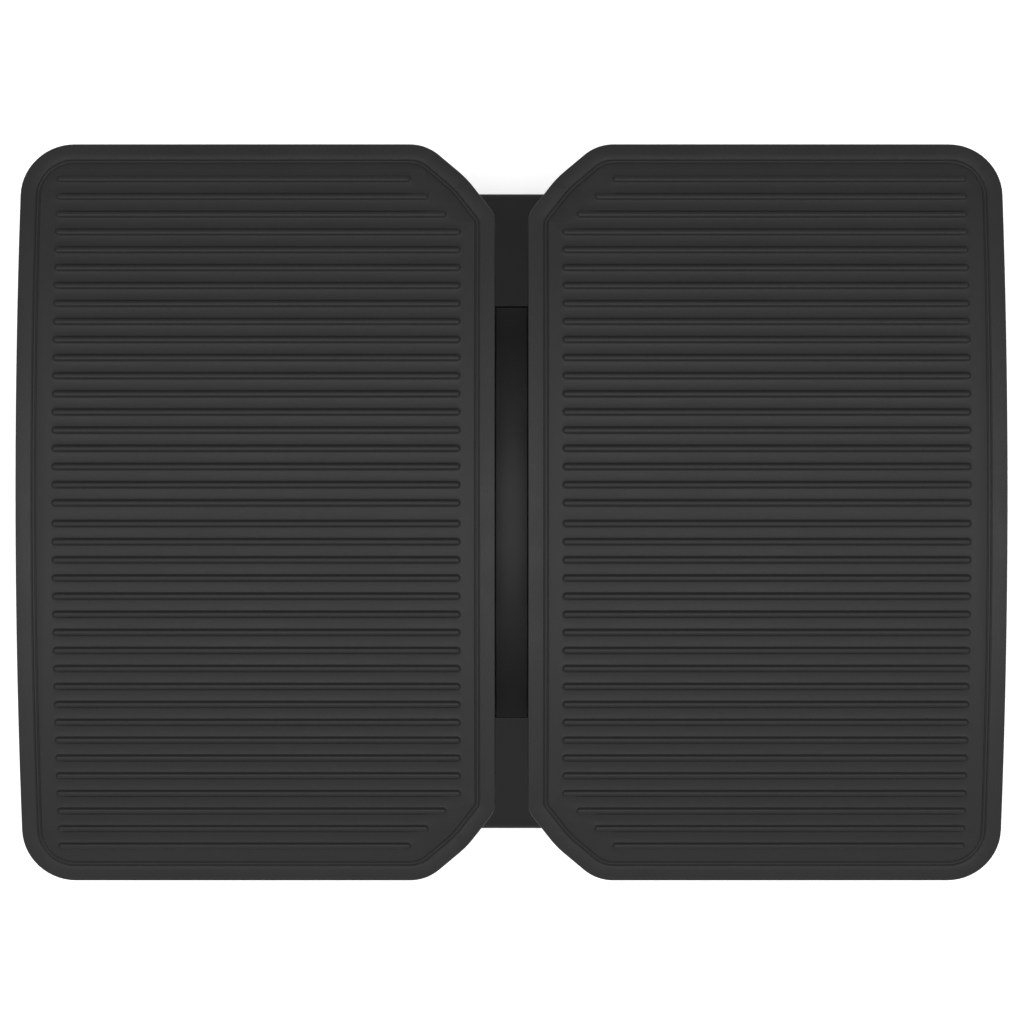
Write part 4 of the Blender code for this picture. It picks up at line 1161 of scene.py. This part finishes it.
def build_plate(side):
    """Everything that tilts with one foot plate."""
    label = side_name(side)
    body = label + "_plate"
    install(shell_piece(side), label + "_plate_shell", body)
    install(mat_piece(side), label + "_mat", body)
    for kind in ("inner", "index"):
        install(bracket_piece(side, kind), f"{label}_{kind}_bracket", body)
        for number in (1, 2):
            screw = f"{label}_{kind}_bracket_screw_{number}"
            install(screw_piece(screw), screw, body)
    for bush in (label + "_inner_bush", label + "_outer_bush"):
        install(bush_piece(bush), bush, body)
    washer = label + "_friction_washer"
    install(washer_piece(washer), washer, body)


def build_plunger(side):
    """The pin, knob and spring that slide in one index plunger."""
    label = side_name(side)
    body = label + "_plunger"
    install(pin_piece(side), label + "_plunger_pin", body)
    install(knob_piece(side), label + "_plunger_knob", body)
    install(spring_piece(side), label + "_plunger_spring", body)


def build_base():
    """Everything that stays with the base."""
    install(tray_piece(), "base_tray", "base")
    for end, end_name in ((-1, "front"), (1, "rear")):
        rail = end_name + "_rail"
        install(rail_piece(rail, end), rail, "base")
        fin_screw = f"fin_{end_name}_screw"
        install(screw_piece(fin_screw), fin_screw, "base")
    install(fin_piece(), "centre_fin", "base")
    install(axle_piece(), "axle", "base")
    for side in (-1, 1):
        label = side_name(side)
        install(tower_piece(side), label + "_tower", "base")
        install(axle_cap_piece(side), label + "_axle_cap", "base")
        install(housing_piece(side), label + "_plunger_housing", "base")
        install(end_nut_piece(side), label + "_plunger_end_nut", "base")
        for number in (1, 2):
            screw = f"{label}_tower_screw_{number}"
            install(screw_piece(screw), screw, "base")
        for end_name in ("front", "rear"):
            foot = f"foot_{end_name}_{label}"
            install(foot_piece(foot), foot, "base")
            pad = f"{end_name}_{label}_stop_pad"
            install(stop_pad_piece(pad), pad, "base")
            screw = f"{end_name}_rail_{label}_screw"
            install(screw_piece(screw), screw, "base")


# --------------------------------------------------------- stage, light, camera

def build_stage():
    """Pale floor that reads as plain white from above."""
    reach = 3.0
    below = 0.0002
    bm = bmesh.new()
    bmesh.ops.create_grid(bm, x_segments=2, y_segments=2, size=reach)
    bmesh.ops.translate(bm, verts=bm.verts[:], vec=(0.0, 0.0, -below))
    floor = object_from(bm, "pale_floor")
    made = Nodes("pale_floor")
    cloud = made.noise(1.5, 2.0, 0.5)
    colour = made.colour(cloud, (0.84, 0.84, 0.84), (0.88, 0.88, 0.88))
    made.shader.inputs["Emission Color"].default_value = (1.0, 1.0, 1.0, 1.0)
    floor.data.materials.append(made.finish(colour, None, None, Roughness=0.9, Emission_Strength=0.46))


def area_light(name, width, depth, power, location, target):
    """A flat lamp of a given size at one place, facing another."""
    light = bpy.data.lights.new(name, 'AREA')
    light.shape = 'DISK' if width == depth else 'RECTANGLE'
    light.size = width
    light.size_y = depth
    light.energy = power
    lamp = bpy.data.objects.new(name, light)
    bpy.context.collection.objects.link(lamp)
    lamp.location = location
    lamp.rotation_euler = (Vector(target) - Vector(location)).to_track_quat('-Z', 'Y').to_euler()


def build_surround():
    """White surround, brighter in front of the heel end than behind the toe end."""
    world = bpy.data.worlds.new("surround")
    bpy.context.scene.world = world
    world.use_nodes = True
    tree = world.node_tree
    direction = tree.nodes.new("ShaderNodeSeparateXYZ")
    place = tree.nodes.new("ShaderNodeTexCoord")
    tree.links.new(place.outputs["Generated"], direction.inputs["Vector"])
    ramp = tree.nodes.new("ShaderNodeMapRange")
    ramp.interpolation_type = 'SMOOTHSTEP'
    ramp.inputs["From Min"].default_value = -1.0
    ramp.inputs["From Max"].default_value = 0.2
    ramp.inputs["To Min"].default_value = 1.07
    ramp.inputs["To Max"].default_value = 0.64
    tree.links.new(direction.outputs["Y"], ramp.inputs["Value"])
    background = tree.nodes["Background"]
    background.inputs["Color"].default_value = (1.0, 1.0, 1.0, 1.0)
    tree.links.new(ramp.outputs["Result"], background.inputs["Strength"])


def build_lights():
    """A long strip box overhead, across the board, and a softbox at each side."""
    target = (0.0, 0.0, 0.05)
    area_light("overhead_strip", 2.4, 0.5, 14.4, (0.0, -0.06, 1.7), target)
    for side in (-1, 1):
        area_light(side_name(side) + "_softbox", 1.0, 1.0, 2.0, (side * 1.6, 0.0, 1.0), target)
    build_surround()


def build_camera():
    """Camera above the board, a hair beyond its centre toward the toe end and tipped a little."""
    above = 0.851
    beyond = 0.0077
    tilt = math.radians(0.475)
    camera_data = bpy.data.cameras.new("overhead_camera")
    camera_data.lens = 58.48
    camera_data.sensor_width = 36.0
    camera = bpy.data.objects.new("overhead_camera", camera_data)
    bpy.context.collection.objects.link(camera)
    camera.location = (0.00024, beyond, PLATE_TOP_Z + above)
    camera.rotation_euler = (-tilt, 0.0, 0.0)
    bpy.context.scene.camera = camera
    bpy.context.scene.view_settings.view_transform = 'Standard'


def corners(box):
    """A box's two corners as plain lists."""
    return [list(corner) for corner in box]


build_camera()
build_lights()
build_stage()
build_base()
for board_side in (-1, 1):
    build_plate(board_side)
    build_plunger(board_side)
